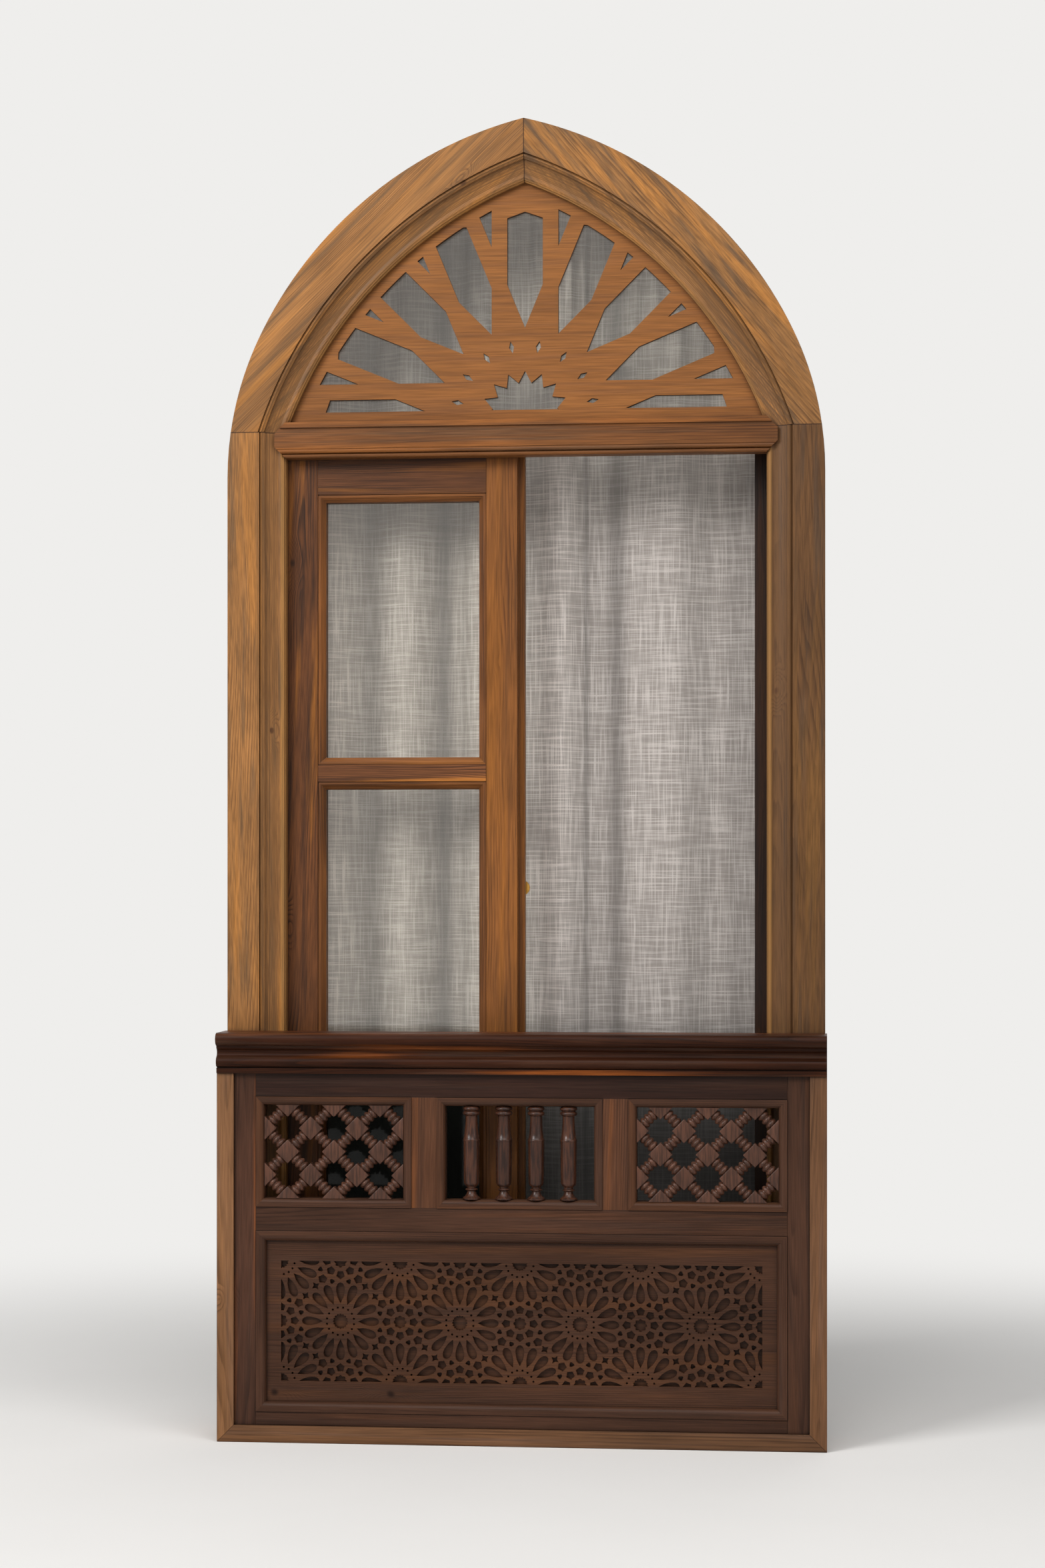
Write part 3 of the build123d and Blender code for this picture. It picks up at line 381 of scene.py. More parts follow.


def moulding_tone(tree, place, colour, arched):
    """Fine darker lines along the moulding, and a light bead between them and the opening."""
    axis = add(tree, "SeparateXYZ", {0: place})
    side = add(tree, "Math", {0: axis.outputs[0]}, operation="ABSOLUTE")
    if arched:
        out = add(tree, "Math", {0: side.outputs[0], 1: ARCH_X}, operation="ADD")
        rise = add(tree, "Math", {0: axis.outputs[2], 1: ARCH_Z}, operation="SUBTRACT")
        reach = add(tree, "CombineXYZ", {0: out.outputs[0], 2: rise.outputs[0]})
        reach = add(tree, "VectorMath", {0: reach.outputs[0]}, operation="LENGTH").outputs["Value"]
        deep = add(tree, "Math", {0: ARCH_R, 1: reach}, operation="SUBTRACT")
    else:
        deep = add(tree, "Math", {0: HALF_WIDTH, 1: side.outputs[0]}, operation="SUBTRACT")
    deep = add(tree, "Math", {0: deep.outputs[0], 1: MM}, operation="DIVIDE")
    # The plane's lines are about 1.8 mm wide
    lines = add(
        tree, "TexNoise", {"W": deep.outputs[0], "Scale": 1 / 1.8, "Detail": 2.0},
        noise_dimensions="1D",
    )
    lines = add(
        tree, "MapRange", {"Value": lines.outputs[0], "From Min": 0.44, "From Max": 0.58,
                           "To Min": 0.15, "To Max": 0.7},
    )
    starts = add(
        tree, "MapRange", {"Value": deep.outputs[0], "From Min": LINED[0], "From Max": LINED[1]}
    )
    ends = add(
        tree, "MapRange", {"Value": deep.outputs[0], "From Min": LINED[2], "From Max": LINED[3],
                           "To Min": 1.0, "To Max": 0.0},
    )
    # The moulding is on the outer face, so its lines end 16 to 12 mm before the frame's middle
    front = add(
        tree, "MapRange", {"Value": axis.outputs[1], "From Min": -0.016, "From Max": -0.012,
                           "To Min": 1.0, "To Max": 0.0},
    )
    share = add(tree, "Math", {0: starts.outputs[0], 1: ends.outputs[0]}, operation="MULTIPLY")
    share = add(tree, "Math", {0: share.outputs[0], 1: lines.outputs[0]}, operation="MULTIPLY")
    share = add(tree, "Math", {0: share.outputs[0], 1: front.outputs[0]}, operation="MULTIPLY")
    colour = add(
        tree, "Mix", {0: share.outputs[0], 6: colour, 7: stain("#66472a")}, data_type="RGBA"
    ).outputs[2]
    # The bead by the opening is painted lighter than the wood around it
    lighter_bead = add(
        tree, "MapRange", {"Value": deep.outputs[0], "From Min": BEAD_FROM,
                           "From Max": BEAD_FULL, "To Max": 0.45},
    )
    lighter_bead = add(tree, "Math", {0: lighter_bead.outputs[0], 1: front.outputs[0]}, operation="MULTIPLY")
    return add(
        tree, "Mix", {0: lighter_bead.outputs[0], 6: colour, 7: stain("#b5854b")}, data_type="RGBA"
    ).outputs[2]


# %% [markdown]
# ## Five tones from one timber
#
# The frame has a golden-brown stain, the leaves a red-brown one, and the screen a dark
# walnut stain with lighter boards round it. The fret is a thin board in a middle brown.
# Rings are mostly 2 to 3 mm apart, and the knots are 5 to 15 mm wide.
#
# In a tone, spring and summer are the colours of a ring's two woods and bold is how much
# they differ. Grey and flame are the streaks, each with its most. Knot is the darkest place.
# The crease colour is painted into corners for dirt and for shade, and a share says how much.
# Ring and wander are in millimetres. Fibre and blotch say how far the tone goes up and
# down, satin is the roughness, and sheen is how much the varnish mirrors.

# %% The stains
TONES = {
    "golden": dict(
        spring="#97683a", summer="#5c3b20", bold=0.8, flame="#b27637", flame_share=0.7,
        grey="#6a4e33", grey_share=0.85, knot="#34160b", crease_dirt_and_shade="#3a2212", dirt=0.6, ring=2.3,
        wander=16.0, fibre=0.34, blotch=0.26, satin=0.46, sheen=0.2,
    ),
    "russet": dict(
        spring="#643b1e", summer="#211108", bold=1.0, flame="#955c24", flame_share=0.65,
        grey="#341e11", grey_share=0.75, knot="#150905", crease_dirt_and_shade="#140905", dirt=0.85, ring=3.0,
        wander=34.0, fibre=0.32, blotch=0.26, satin=0.4, sheen=0.2,
    ),
    "fret": dict(
        spring="#89572b", summer="#6d4523", bold=0.4, flame="#966232", flame_share=0.25,
        grey="#714a2e", grey_share=0.45, knot="#3b1c10", crease_dirt_and_shade="#38200f", dirt=0.65, ring=2.2,
        wander=8.0, fibre=0.3, blotch=0.14, satin=0.5, sheen=0.18, burnt="#22120b",
    ),
    "walnut": dict(
        spring="#482f22", summer="#2b1a13", bold=0.75, flame="#5f3a22", flame_share=0.4,
        grey="#3a2a22", grey_share=0.4, knot="#150a06", crease_dirt_and_shade="#0b0604", dirt=0.8, ring=2.8,
        wander=20.0, fibre=0.26, blotch=0.24, satin=0.38, sheen=0.12,
    ),
    "trim": dict(
        spring="#835c3d", summer="#523621", bold=0.8, flame="#916339", flame_share=0.35,
        grey="#6a5040", grey_share=0.5, knot="#2c160e", crease_dirt_and_shade="#1c100a", dirt=0.75, ring=2.6,
        wander=16.0, fibre=0.28, blotch=0.22, satin=0.45, sheen=0.16,
    ),
}
print(len(TONES), "stains on one timber")

# %% [markdown]
# ## Give the joiner's pieces their timber
#
# No two boards come from the same place in a tree. Each board gets its own heart, so each
# has its own figure, and its grain runs along its length. A row gives a board's name, its
# tone, how it leans in degrees, where the tree's heart lies in metres, its knots, each with
# a place in metres and a size in millimetres, and what differs from its tone.
#
# The muntins of the shut leaf are brighter in the photograph than the top rail above them.
# Rails and muntins are one piece, left_rails, so the shader brightens it below 1.3 m.

# %% Where each board comes from
UP, ALONG, DEEP = (0, 0, 0), (0, 90, 0), (90, 0, 0)
SPRING_LINE, APEX = ("Z", 1.438), ("X", 0.0)  # the planes where the frame's boards meet
BOARDS = [
    ("left_jamb", "golden", (3, -1, 0), (-0.44, 0.09, 0), [(-0.3555, -0.019, 1.02, 4)], dict(
        moulded="jamb", joints=[SPRING_LINE])),
    # Painted shade: the right jamb's colours are darker than its tone
    ("right_jamb", "golden", (-2, 1, 0), (0.36, 0.06, 0), [(0.366, -0.024, 1.072, 5)], dict(
        spring="#614226", summer="#3c2615", flame="#755027", grey="#4f3a29", moulded="jamb",
        joints=[SPRING_LINE])),
    ("arch_left", "golden", (0, 46, 0), (-0.30, 0.02, 1.40), [(-0.075, -0.034, 1.79, 5)], dict(
        moulded="arch", joints=[SPRING_LINE, APEX])),
    # Painted shade: the right half of the arch is a little darker than its tone, and its figure is
    # bolder
    ("arch_right", "golden", (-4, -40, 0), (0.17, 0.03, 1.50), [], dict(
        spring="#8e6338", summer="#4e331d", bold=0.9, grey="#5f4833", grey_share=0.95, ring=5.0,
        wander=34.0, moulded="arch", joints=[SPRING_LINE, APEX])),
    ("transom", "golden", ALONG, (0, 0.03, 1.39), [], dict(
        spring="#744722", summer="#482811", flame="#965a26", grey="#5f4129")),
    ("sill", "golden", ALONG, (0, 0.05, 0.01), [], {}),
    ("fanlight_stop", "golden", UP, (0.1, 0.08, 1.5), [], {}),
    ("fanlight_screen", "fret", ALONG, (0, 0.05, 1.50), [], {}),
    ("left_hinge_stile", "russet", (2.5, 2, 0), (-0.325, 0.03, 0.8), [
        (-0.327, 0, 0.745, 6), (-0.333, 0, 1.01, 5), (-0.322, 0, 1.27, 6)], dict(
            flame_share=0.85)),
    ("left_meeting_stile", "russet", (-1, 1, 0), (-0.06, 0.06, 0.7), [(-0.022, 0, 1.12, 3.5)], dict(
        spring="#835126", summer="#4a2913", grey="#5d3b20", grey_share=0.5, bold=0.7)),
    ("left_rails", "russet", ALONG, (0, 0.03, 1.2), [], dict(
        ring=2.4, spring="#5d381f", lit_below=1.3)),
    # Painted shade: the open leaf's hinge stile is stained almost black, for the shade on its edge
    ("right_hinge_stile", "russet", (2, 1, 0), (0.36, 0.09, 0.6), [], dict(
        spring="#26160d", summer="#140a06", flame="#38210f")),
    ("right_meeting_stile", "russet", (1, -1, 0), (0.33, 0.36, 0.6), [], dict(spring="#3a2213")),
    ("right_rails", "russet", DEEP, (0.33, 0.2, 1.2), [], dict(ring=2.4)),
    ("screen_left_board", "trim", (1, -1, 0), (-0.40, -0.03, 0.3), [(-0.418, -0.099, 0.21, 3)], {}),
    ("screen_right_board", "trim", (-1, 1, 0), (0.44, -0.04, 0.2), [], dict(
        spring="#6e4c33", summer="#3f2a1b", flame="#7a5232")),
    ("screen_bottom_board", "trim", ALONG, (0, -0.05, -0.02), [], dict(
        spring="#6b4a31", summer="#432c1c", flame="#7b5331")),
    ("screen_cap", "walnut", (0, 90, 1), (0, -0.06, 0.53), [(0.09, -0.1067, 0.538, 4)], dict(
        spring="#371c0f", summer="#1b0d07", flame="#84461b", flame_share=0.85,
        grey="#4e372a", grey_share=0.5, sheen=0.08)),
    ("screen_left_stile", "walnut", (1, 1.5, 0), (-0.38, -0.05, 0.3), [
        (-0.401, -0.1, 0.176, 7)], dict(spring="#4c3124", flame="#814a28", flame_share=0.9)),
    ("screen_right_stile", "walnut", (1, -1, 0), (0.40, -0.06, 0.3), [], {}),
    ("screen_bottom_rail", "walnut", ALONG, (0, -0.06, 0.02), [], {}),
    ("screen_mid_rail", "walnut", (0, 90, 1), (0, -0.05, 0.33), [], {}),
    # Partly painted shade: the screen's top rail, under the cap, is darker than its tone
    ("screen_top_rail", "walnut", ALONG, (0, -0.06, 0.48), [], dict(
        spring="#311e17", summer="#1f130e", flame="#402719")),
    ("screen_mullions", "walnut", (1, 2, 0), (0.1, -0.05, 0.4), [], dict(
        spring="#583826", flame="#7a4826", flame_share=0.7)),
]
for name, tone, lean, heart, knots, changes in BOARDS:
    timber = stained_pine(f"stained_pine_{name}", tone, lean, heart, knots, **changes)
    dress(name, timber)
print(len(BOARDS), "boards, each from its own part of a tree")

# %% Beads, whose grain turns at the mitres
def middle_and_half(name, axis):
    """The middle of a piece along an axis, and half its size."""
    low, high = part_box(name)
    return (low[axis] + high[axis]) / 2, (high[axis] - low[axis]) / 2


PANE_PITCH = 0.414  # from one pane of glass to the next in a leaf
BEADS = [
    ("left_beads", "russet", "XZ", True), ("right_beads", "russet", "YZ", True),
    ("left_opening_bead", "walnut", "XZ", False), ("middle_opening_bead", "walnut", "XZ", False),
    ("right_opening_bead", "walnut", "XZ", False), ("star_panel_bead", "walnut", "XZ", False),
]
for name, tone, plane, repeats in BEADS:
    mid, half = middle_and_half(name, 0 if plane == "XZ" else 1)
    rise, half_h = middle_and_half(name, 2)
    if repeats:
        half_h -= PANE_PITCH
    mitre = (mid, rise, half, half_h, PANE_PITCH if repeats else 0, plane)
    changes = dict(spring="#784923", summer="#3b200f", grey="#4a2c16") if tone == "russet" else {}
    timber = stained_pine(f"stained_pine_{name}", tone, UP, (mid, 0.05, 0.3), (), mitre, **changes)
    dress(name, timber)
print(len(BEADS), "mitred beads")

# %% [markdown]
# ## Ease the edges
#
# A joiner takes the sharp edge off every board with sandpaper, or it would splinter. The
# light catches that edge as a thin bright line. A Bevel modifier does it here. The mesh
# comes in with its corners split, so a Weld goes first, and a Weighted Normal after it
# keeps the wide faces flat and lets the narrow steps of the mouldings look round.

# %% A rounded edge on each joiner's piece
EASED = {
    0.8: ["left_jamb", "right_jamb", "arch_left", "arch_right", "transom", "sill", "screen_cap",
          "left_hinge_stile", "left_meeting_stile", "left_rails", "right_hinge_stile",
          "right_meeting_stile", "right_rails"],
    0.6: ["screen_left_board", "screen_right_board", "screen_bottom_board", "screen_left_stile",
          "screen_right_stile", "screen_bottom_rail", "screen_mid_rail", "screen_top_rail",
          "screen_mullions", "left_opening_bead", "middle_opening_bead", "right_opening_bead",
          "star_panel_bead", "left_beads", "right_beads", "fanlight_stop"],
    0.4: ["fanlight_screen", "left_hinges", "right_hinges", "curtain_rail"],
    0.25: ["fanlight_glass", "left_panes", "right_panes"],
}


def ease_edges(piece, width, corner=32):
    """Welds a piece, rounds its edges by a width in metres, and shades it smooth."""
    weld = piece.modifiers.new("join split corners", "WELD")
    weld.merge_threshold = 0.01 * MM
    edge = piece.modifiers.new("eased edge", "BEVEL")
    edge.width, edge.segments, edge.profile = width, 2, 0.5
    edge.limit_method, edge.angle_limit = "ANGLE", radians(corner)
    edge.harden_normals, edge.material = False, -1
    shading = piece.modifiers.new("even shading", "WEIGHTED_NORMAL")
    shading.weight, shading.keep_sharp = 60, False


for width, names in EASED.items():
    for name in names:
        ease_edges(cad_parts[name], width * MM)
print(sum(len(names) for names in EASED.values()), "pieces with eased edges")

# %% [markdown]
# ## Glass, brass and steel
#
# Window glass is soda-lime float glass, clear with a faint green edge. Its index is 1.52.
# A sheet of it casts no dark shadow on the curtain behind, but a renderer would give it
# one, so rays towards a lamp pass straight through. Behind the screen a pane has only dark
# wood to mirror, and the bright studio would show there as pale patches, so the lowest
# pane of the shut leaf is painted with shade: below the screen's cap it mirrors little and
# turns a dark grey.
#
# The knob is polished brass, rubbed by hands, so its shine is a little uneven. The hinges
# and the curtain rail are rolled steel with a thin zinc coat, which looks grey and dull.

# %% Float glass
SHADED_BELOW, CLEAR_ABOVE = 0.5, 0.53  # heights at the screen's cap


def float_glass(name, painted_shade_share=0.0):
    """Clear soda-lime glass that lets the lamps' light through, with painted shade behind the
    screen.
    """
    finish, tree, glass = new_finish(name)
    glass.inputs["Transmission Weight"].default_value = 1.0
    glass.inputs["IOR"].default_value = 1.52
    place = add(tree, "TexCoord").outputs["Object"]
    # Haze lies in clouds about 11 cm wide
    haze = add(tree, "TexNoise", {"Vector": place, "Scale": 9.0, "Detail": 4.0})
    dust = add(tree, "MapRange", {"Value": haze.outputs[0], "To Min": 0.0, "To Max": 0.02})
    tree.links.new(dust.outputs[0], glass.inputs["Roughness"])
    tint = add(
        tree, "Mix", {0: haze.outputs[0], 6: stain("#e4e2de"), 7: stain("#eeece8")},
        data_type="RGBA",
    )
    tree.links.new(tint.outputs[2], glass.inputs["Base Color"])
    clear = add(tree, "BsdfTransparent", {"Color": stain("#f4f7f5")})
    to_lamp = add(tree, "LightPath").outputs["Is Shadow Ray"]
    # Painted shade: below the screen's cap the glass turns a dark grey that mirrors nothing
    shade_tint = add(tree, "BsdfTransparent", {"Color": stain("#8d9491")})
    height = add(tree, "SeparateXYZ", {0: place}).outputs[2]
    low_down = add(
        tree, "MapRange", {"Value": height, "From Min": SHADED_BELOW, "From Max": CLEAR_ABOVE,
                           "To Min": painted_shade_share, "To Max": 0.0},
    )
    seen = add(
        tree, "MixShader", {0: low_down.outputs[0], 1: glass.outputs[0], 2: shade_tint.outputs[0]}
    )
    both = add(tree, "MixShader", {0: to_lamp, 1: seen.outputs[0], 2: clear.outputs[0]})
    tree.links.new(both.outputs[0], tree.nodes["Material Output"].inputs["Surface"])
    return finish


window_glass = float_glass("float_glass")
GLASS = {
    "fanlight_glass": window_glass,
    "right_panes": window_glass,
    "left_panes": float_glass("float_glass_behind_screen", painted_shade_share=0.75),
}
for name, glass in GLASS.items():
    dress(name, glass)
print("glass in", len(GLASS), "places")

# %% Rolled steel with a zinc coat
def zinc_steel(name):
    """Grey steel with soft cloudy spangles about 6 mm wide."""
    finish, tree, metal = new_finish(name)
    metal.inputs["Metallic"].default_value = 1.0
    place = add(tree, "TexCoord").outputs["Object"]
    spangle = add(tree, "TexVoronoi", {"Vector": place, "Scale": 1 / (6 * MM)})
    # Tarnish comes in patches about 25 mm wide
    tarnish = add(tree, "TexNoise", {"Vector": place, "Scale": 40.0, "Detail": 5.0})
    grey = add(
        tree, "Mix", {0: spangle.outputs["Distance"], 6: stain("#8d8f90"), 7: stain("#a9abab")},
        data_type="RGBA",
    )
    worn = add(
        tree, "Mix", {0: tarnish.outputs[0], 6: grey.outputs[2], 7: stain("#6f6a64")},
        data_type="RGBA",
    )
    tree.links.new(worn.outputs[2], metal.inputs["Base Color"])
    dull = add(tree, "MapRange", {"Value": tarnish.outputs[0], "To Min": 0.3, "To Max": 0.62})
    tree.links.new(dull.outputs[0], metal.inputs["Roughness"])
    return finish


hinge_metal = zinc_steel("zinc_coated_steel")
STEEL = ("left_hinges", "right_hinges", "curtain_rail")
for name in STEEL:
    dress(name, hinge_metal)
print("steel in", len(STEEL), "places")

# %% Polished brass
def polished_brass(name):
    """Yellow brass, with smears where fingers have dulled the polish."""
    finish, tree, metal = new_finish(name)
    metal.inputs["Metallic"].default_value = 1.0
    place = add(tree, "TexCoord").outputs["Object"]
    # A smear is about 6 mm wide
    smear = add(tree, "TexNoise", {"Vector": place, "Scale": 160.0, "Detail": 4.0})
    gold = add(
        tree, "Mix", {0: smear.outputs[0], 6: stain("#d9ab5a"), 7: stain("#b98638")},
        data_type="RGBA",
    )
    tree.links.new(gold.outputs[2], metal.inputs["Base Color"])
    dull = add(tree, "MapRange", {"Value": smear.outputs[0], "To Min": 0.12, "To Max": 0.38})
    tree.links.new(dull.outputs[0], metal.inputs["Roughness"])
    return finish


brass = polished_brass("polished_brass")
print("brass for the knob, which comes later")

# %% [markdown]
# ## Make a piece from a mesh
#
# Each turned or carved piece ends in the same way: corners that meet are merged, its faces
# are turned outwards, and it takes the place of its solid. The solid stays in the model
# for contact, out of sight.

# %% From a shape to the scene
TOUCHING = 0.002 * MM  # corners nearer than this are one corner


def mesh_from(shape, name):
    """A mesh from a shape that isn't needed any more."""
    mesh = bpy.data.meshes.new(name)
    shape.to_mesh(mesh)
    shape.free()
    return mesh


def show(name, data):
    """A new object in the scene, at the origin."""
    made = bpy.data.objects.new(name, data)
    bpy.context.scene.collection.objects.link(made)
    return made


def smooth_faces(mesh, angle):
    """Shades a mesh smooth, apart from edges that turn by more than an angle in degrees."""
    mesh.shade_smooth()
    mesh.set_sharp_from_angle(angle=radians(angle))


# %% Finish a piece
def fit_piece(name, shape, finish, node, smooth=35):
    """Puts a mesh in the window in place of a solid, shaded smooth below an angle."""
    bmesh.ops.remove_doubles(shape, verts=shape.verts, dist=TOUCHING)
    bmesh.ops.recalc_face_normals(shape, faces=shape.faces)
    mesh = mesh_from(shape, name)
    smooth_faces(mesh, smooth)
    mesh.materials.append(finish)
    piece = show(name, mesh)
    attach(piece, "root")
    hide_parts(node)
    print(name, "has", len(mesh.polygons), "faces")
    return piece


# %% [markdown]
# ## Turned wood
#
# A wood turner cuts a profile into a spinning square of wood. Spinning the profile's line
# round the axis is the same act, and it keeps every ring crisp. Subdividing a cylinder and
# scaling its loops would be slower and less exact.

# %% Turn a profile
def turn_on_lathe(profile, steps):
    """A closed turned shape from (radius, height) points in millimetres, round Z."""
    shape = bmesh.new()
    line = [shape.verts.new((r * MM, 0, z * MM)) for r, z in profile]
    for start, end in zip(line, line[1:]):
        shape.edges.new((start, end))
    bmesh.ops.spin(
        shape, geom=shape.verts[:] + shape.edges[:], cent=(0, 0, 0), axis=(0, 0, 1),
        angle=2 * pi, steps=steps, use_merge=True,
    )
    bmesh.ops.remove_doubles(shape, verts=shape.verts, dist=TOUCHING)
    return shape


def half_round(low, high, inner, outer, cuts=6):
    """Profile points over a rounded ring between two heights."""
    return [
        (inner + (outer - inner) * sin(pi * n / cuts) ** 0.7, low + (high - low) * n / cuts)
        for n in range(cuts + 1)
    ]


def copies(source, places):
    """One mesh with a copy of the source at each place, and then frees the source."""
    mesh = mesh_from(source, "turned copy")
    whole = bmesh.new()
    for place in places:
        first = len(whole.verts)
        whole.from_mesh(mesh)
        whole.verts.ensure_lookup_table()
        bmesh.ops.transform(whole, matrix=place, verts=whole.verts[first:])
    bpy.data.meshes.remove(mesh)
    return whole


# %% [markdown]
# ## Walnut-stained turnings
#
# Each block and link of the lattice is its own small piece of wood, and took the stain in
# its own way. The shader reads a random value for each loose part, so that neighbours
# differ in tone, and it shifts the grain by it too. Stain gathers in the lathe's grooves,
# where the turned links meet their blocks, and that is left to the shapes themselves.

# %% Stain that differs from part to part
def turned_pine(name, spring, summer, shine):
    """Fine-grained pine in walnut stain, a little different on each loose part."""
    finish, tree, varnish = new_finish(name)
    place = add(tree, "TexCoord").outputs["Object"]
    own = add(tree, "NewGeometry").outputs["Random Per Island"]
    offset = add(tree, "CombineXYZ", {0: own, 1: own, 2: own})
    moved = add(tree, "VectorMath", {0: place, 1: offset.outputs[0]}, operation="ADD")
    # The grain is 2.4 mm wide and twelve times as long, up the window
    grain = add(tree, "Mapping", {"Vector": moved.outputs[0], "Scale": (1 / MM, 1 / MM, 0.08 / MM)})
    rings = add(tree, "TexNoise", {"Vector": grain.outputs[0], "Scale": 1 / 2.4, "Detail": 3.0})
    band = add(
        tree, "MapRange", {"Value": rings.outputs[0], "From Min": 0.4, "From Max": 0.62},
        interpolation_type="SMOOTHSTEP",
    )
    wood = add(
        tree, "Mix", {0: band.outputs[0], 6: stain(spring), 7: stain(summer)}, data_type="RGBA"
    )
    tone = add(tree, "MapRange", {"Value": own, "To Min": 0.8, "To Max": 1.22})
    tone = add(tree, "CombineXYZ", {n: tone.outputs[0] for n in range(3)})
    wood = add(tree, "VectorMath", {0: wood.outputs[2], 1: tone.outputs[0]}, operation="MULTIPLY")
    tree.links.new(wood.outputs[0], varnish.inputs["Base Color"])
    dull = add(
        tree, "MapRange", {"Value": rings.outputs[0], "To Min": shine - 0.08, "To Max": shine + 0.1}
    )
    tree.links.new(dull.outputs[0], varnish.inputs["Roughness"])
    bump = add(tree, "Bump", {"Height": rings.outputs[0], "Strength": 0.3, "Distance": 0.2 * MM})
    tree.links.new(bump.outputs[0], varnish.inputs["Normal"])
    varnish.inputs["Specular IOR Level"].default_value = 0.25
    return finish


lattice_finish = turned_pine("turned_pine_lattice", "#563729", "#3c261c", 0.34)
baluster_finish = turned_pine("turned_pine_balusters", "#482b1e", "#2c1a13", 0.26)
print("two finishes for turned wood: the balusters are darker and shine more")

# %% [markdown]
# ## The turned lattices
#
# A mashrabiya is made of short turned links, each glued into holes in square blocks. The
# blocks stand on their corners, 46.7 mm apart along the links, and each link carries three
# rings. The lattice is built larger than its opening and then cut off at the bead, so the
# blocks at its edges are halves, as on the real one.

# %% Sizes of the lattice
STEP, BLOCK, BLOCK_THICK = 33.0, 24.0, 16.0
RING_R, WAIST_R, RINGS = 8.5, 6.0, 3
TENON, GROOVE = 1.5, 0.5  # how far a link goes into its block, and half of what parts rings
link_length = STEP * sqrt(2) - BLOCK
ring_length = link_length / RINGS
print("a link is", round(link_length, 1), "mm long")

# %% One link
link_profile = [(0, -link_length / 2 - TENON), (WAIST_R, -link_length / 2 - TENON)]
for n in range(RINGS):
    foot = n * ring_length - link_length / 2
    link_profile += half_round(foot + GROOVE, foot + ring_length - GROOVE, WAIST_R, RING_R)
link_profile += [(WAIST_R, link_length / 2 + TENON), (0, link_length / 2 + TENON)]
print("its profile has", len(link_profile), "points")

# %% One block
WORN = 0.9  # the width of its worn edges


def lattice_block():
    """A block on its corner, with worn edges."""
    shape = bmesh.new()
    bmesh.ops.create_cube(shape, size=1)
    bmesh.ops.scale(shape, vec=(BLOCK * MM, BLOCK_THICK * MM, BLOCK * MM), verts=shape.verts)
    bmesh.ops.bevel(
        shape, geom=shape.edges[:] + shape.verts[:], offset=WORN * MM, segments=3, profile=0.5,
        affect="EDGES", material=-1,
    )
    on_its_corner = Matrix.Rotation(pi / 4, 3, "Y")
    bmesh.ops.rotate(shape, cent=(0, 0, 0), matrix=on_its_corner, verts=shape.verts)
    return shape


# %% Cut a lattice to its opening
def cut_to_opening(shape, half_w, half_h):
    """Cuts a shape off at an opening's edges and closes the cuts."""
    for axis, limit in ((0, half_w), (2, half_h)):
        for way in (-1, 1):
            normal, spot = Vector(), Vector()
            normal[axis], spot[axis] = way, way * limit
            cut = bmesh.ops.bisect_plane(
                shape, geom=shape.verts[:] + shape.edges[:] + shape.faces[:], dist=1e-7,
                plane_co=spot, plane_no=normal, clear_outer=True,
            )
            rim = [e for e in cut["geom_cut"] if isinstance(e, bmesh.types.BMEdge)]
            bmesh.ops.holes_fill(shape, edges=rim, sides=0)


# %% Both lattices
def lattice_mesh(half_w, half_h):
    """Blocks and links that fill an opening of this half width and height."""
    columns, rows = int(half_w / MM / STEP) + 1, int(half_h / MM / STEP) + 1
    spots, spans = [], []
    for i in range(-columns, columns + 1):
        for j in range(-rows, rows + 1):
            if (i + j) % 2 == 0:
                spots.append(Matrix.Translation((i * STEP * MM, 0, j * STEP * MM)))
            middle = Matrix.Translation(((i + 0.5) * STEP * MM, 0, (j + 0.5) * STEP * MM))
            way = pi / 4 if (i + j) % 2 == 0 else -pi / 4
            spans.append(middle @ Matrix.Rotation(way, 4, "Y"))
    whole = copies(lattice_block(), spots)
    links = copies(turn_on_lathe(link_profile, 24), spans)
    mesh = mesh_from(links, "links")
    whole.from_mesh(mesh)
    bpy.data.meshes.remove(mesh)
    cut_to_opening(whole, half_w, half_h)
    return whole


for side in ("left", "right"):
    low, high = corners_of(f"{side}_lattice")
    half = (high - low) / 2
    shape = lattice_mesh(half.x, half.z)
    bmesh.ops.translate(shape, vec=(low + high) / 2, verts=shape.verts)
    fit_piece(f"turned_lattice_{side}", shape, lattice_finish, f"{side}_lattice")

# %% [markdown]
# ## The balusters
#
# Four balusters close the middle opening. From the foot up, each has a bell, a thin ring,
# a long body that swells to a collar, a hollow neck and two flat discs.

# %% Turn the balusters
BALUSTER_PROFILE = (
    [(0, 0), (11.2, 0), (12.4, 0.8), (12.4, 2.4), (11.4, 3.4), (10.2, 4.4), (8.4, 6.2), (7.0, 8.4)]
    + [(6.2, 10.6), (5.8, 12.4)] + half_round(12.8, 16.4, 6.2, 8.8, 4)
    + [(6.3, 17.2), (6.6, 18.6), (8.6, 20.2), (10.0, 21.8), (10.7, 24.0), (11.0, 40.0)]
    + [(11.4, 78.0), (11.4, 81.6)] + half_round(82.0, 86.0, 11.4, 12.0, 4)
    + [(10.9, 86.6), (9.9, 94.0), (9.1, 102.0), (8.6, 110.0), (8.5, 118.2)]
    + half_round(118.8, 125.2, 9.6, 12.4) + half_round(125.6, 131.6, 9.6, 12.4) + [(0, 132.0)]
)
low, high = corners_of("balusters")
BALUSTERS, BALUSTER_R = 4, 12.4 * MM
first_x, last_x = low.x + BALUSTER_R, high.x - BALUSTER_R
gap = (last_x - first_x) / (BALUSTERS - 1)
axis_y = (low.y + high.y) / 2
turned = copies(
    turn_on_lathe(BALUSTER_PROFILE, 40),
    [Matrix.Translation((first_x + gap * n, axis_y, low.z)) for n in range(BALUSTERS)],
)
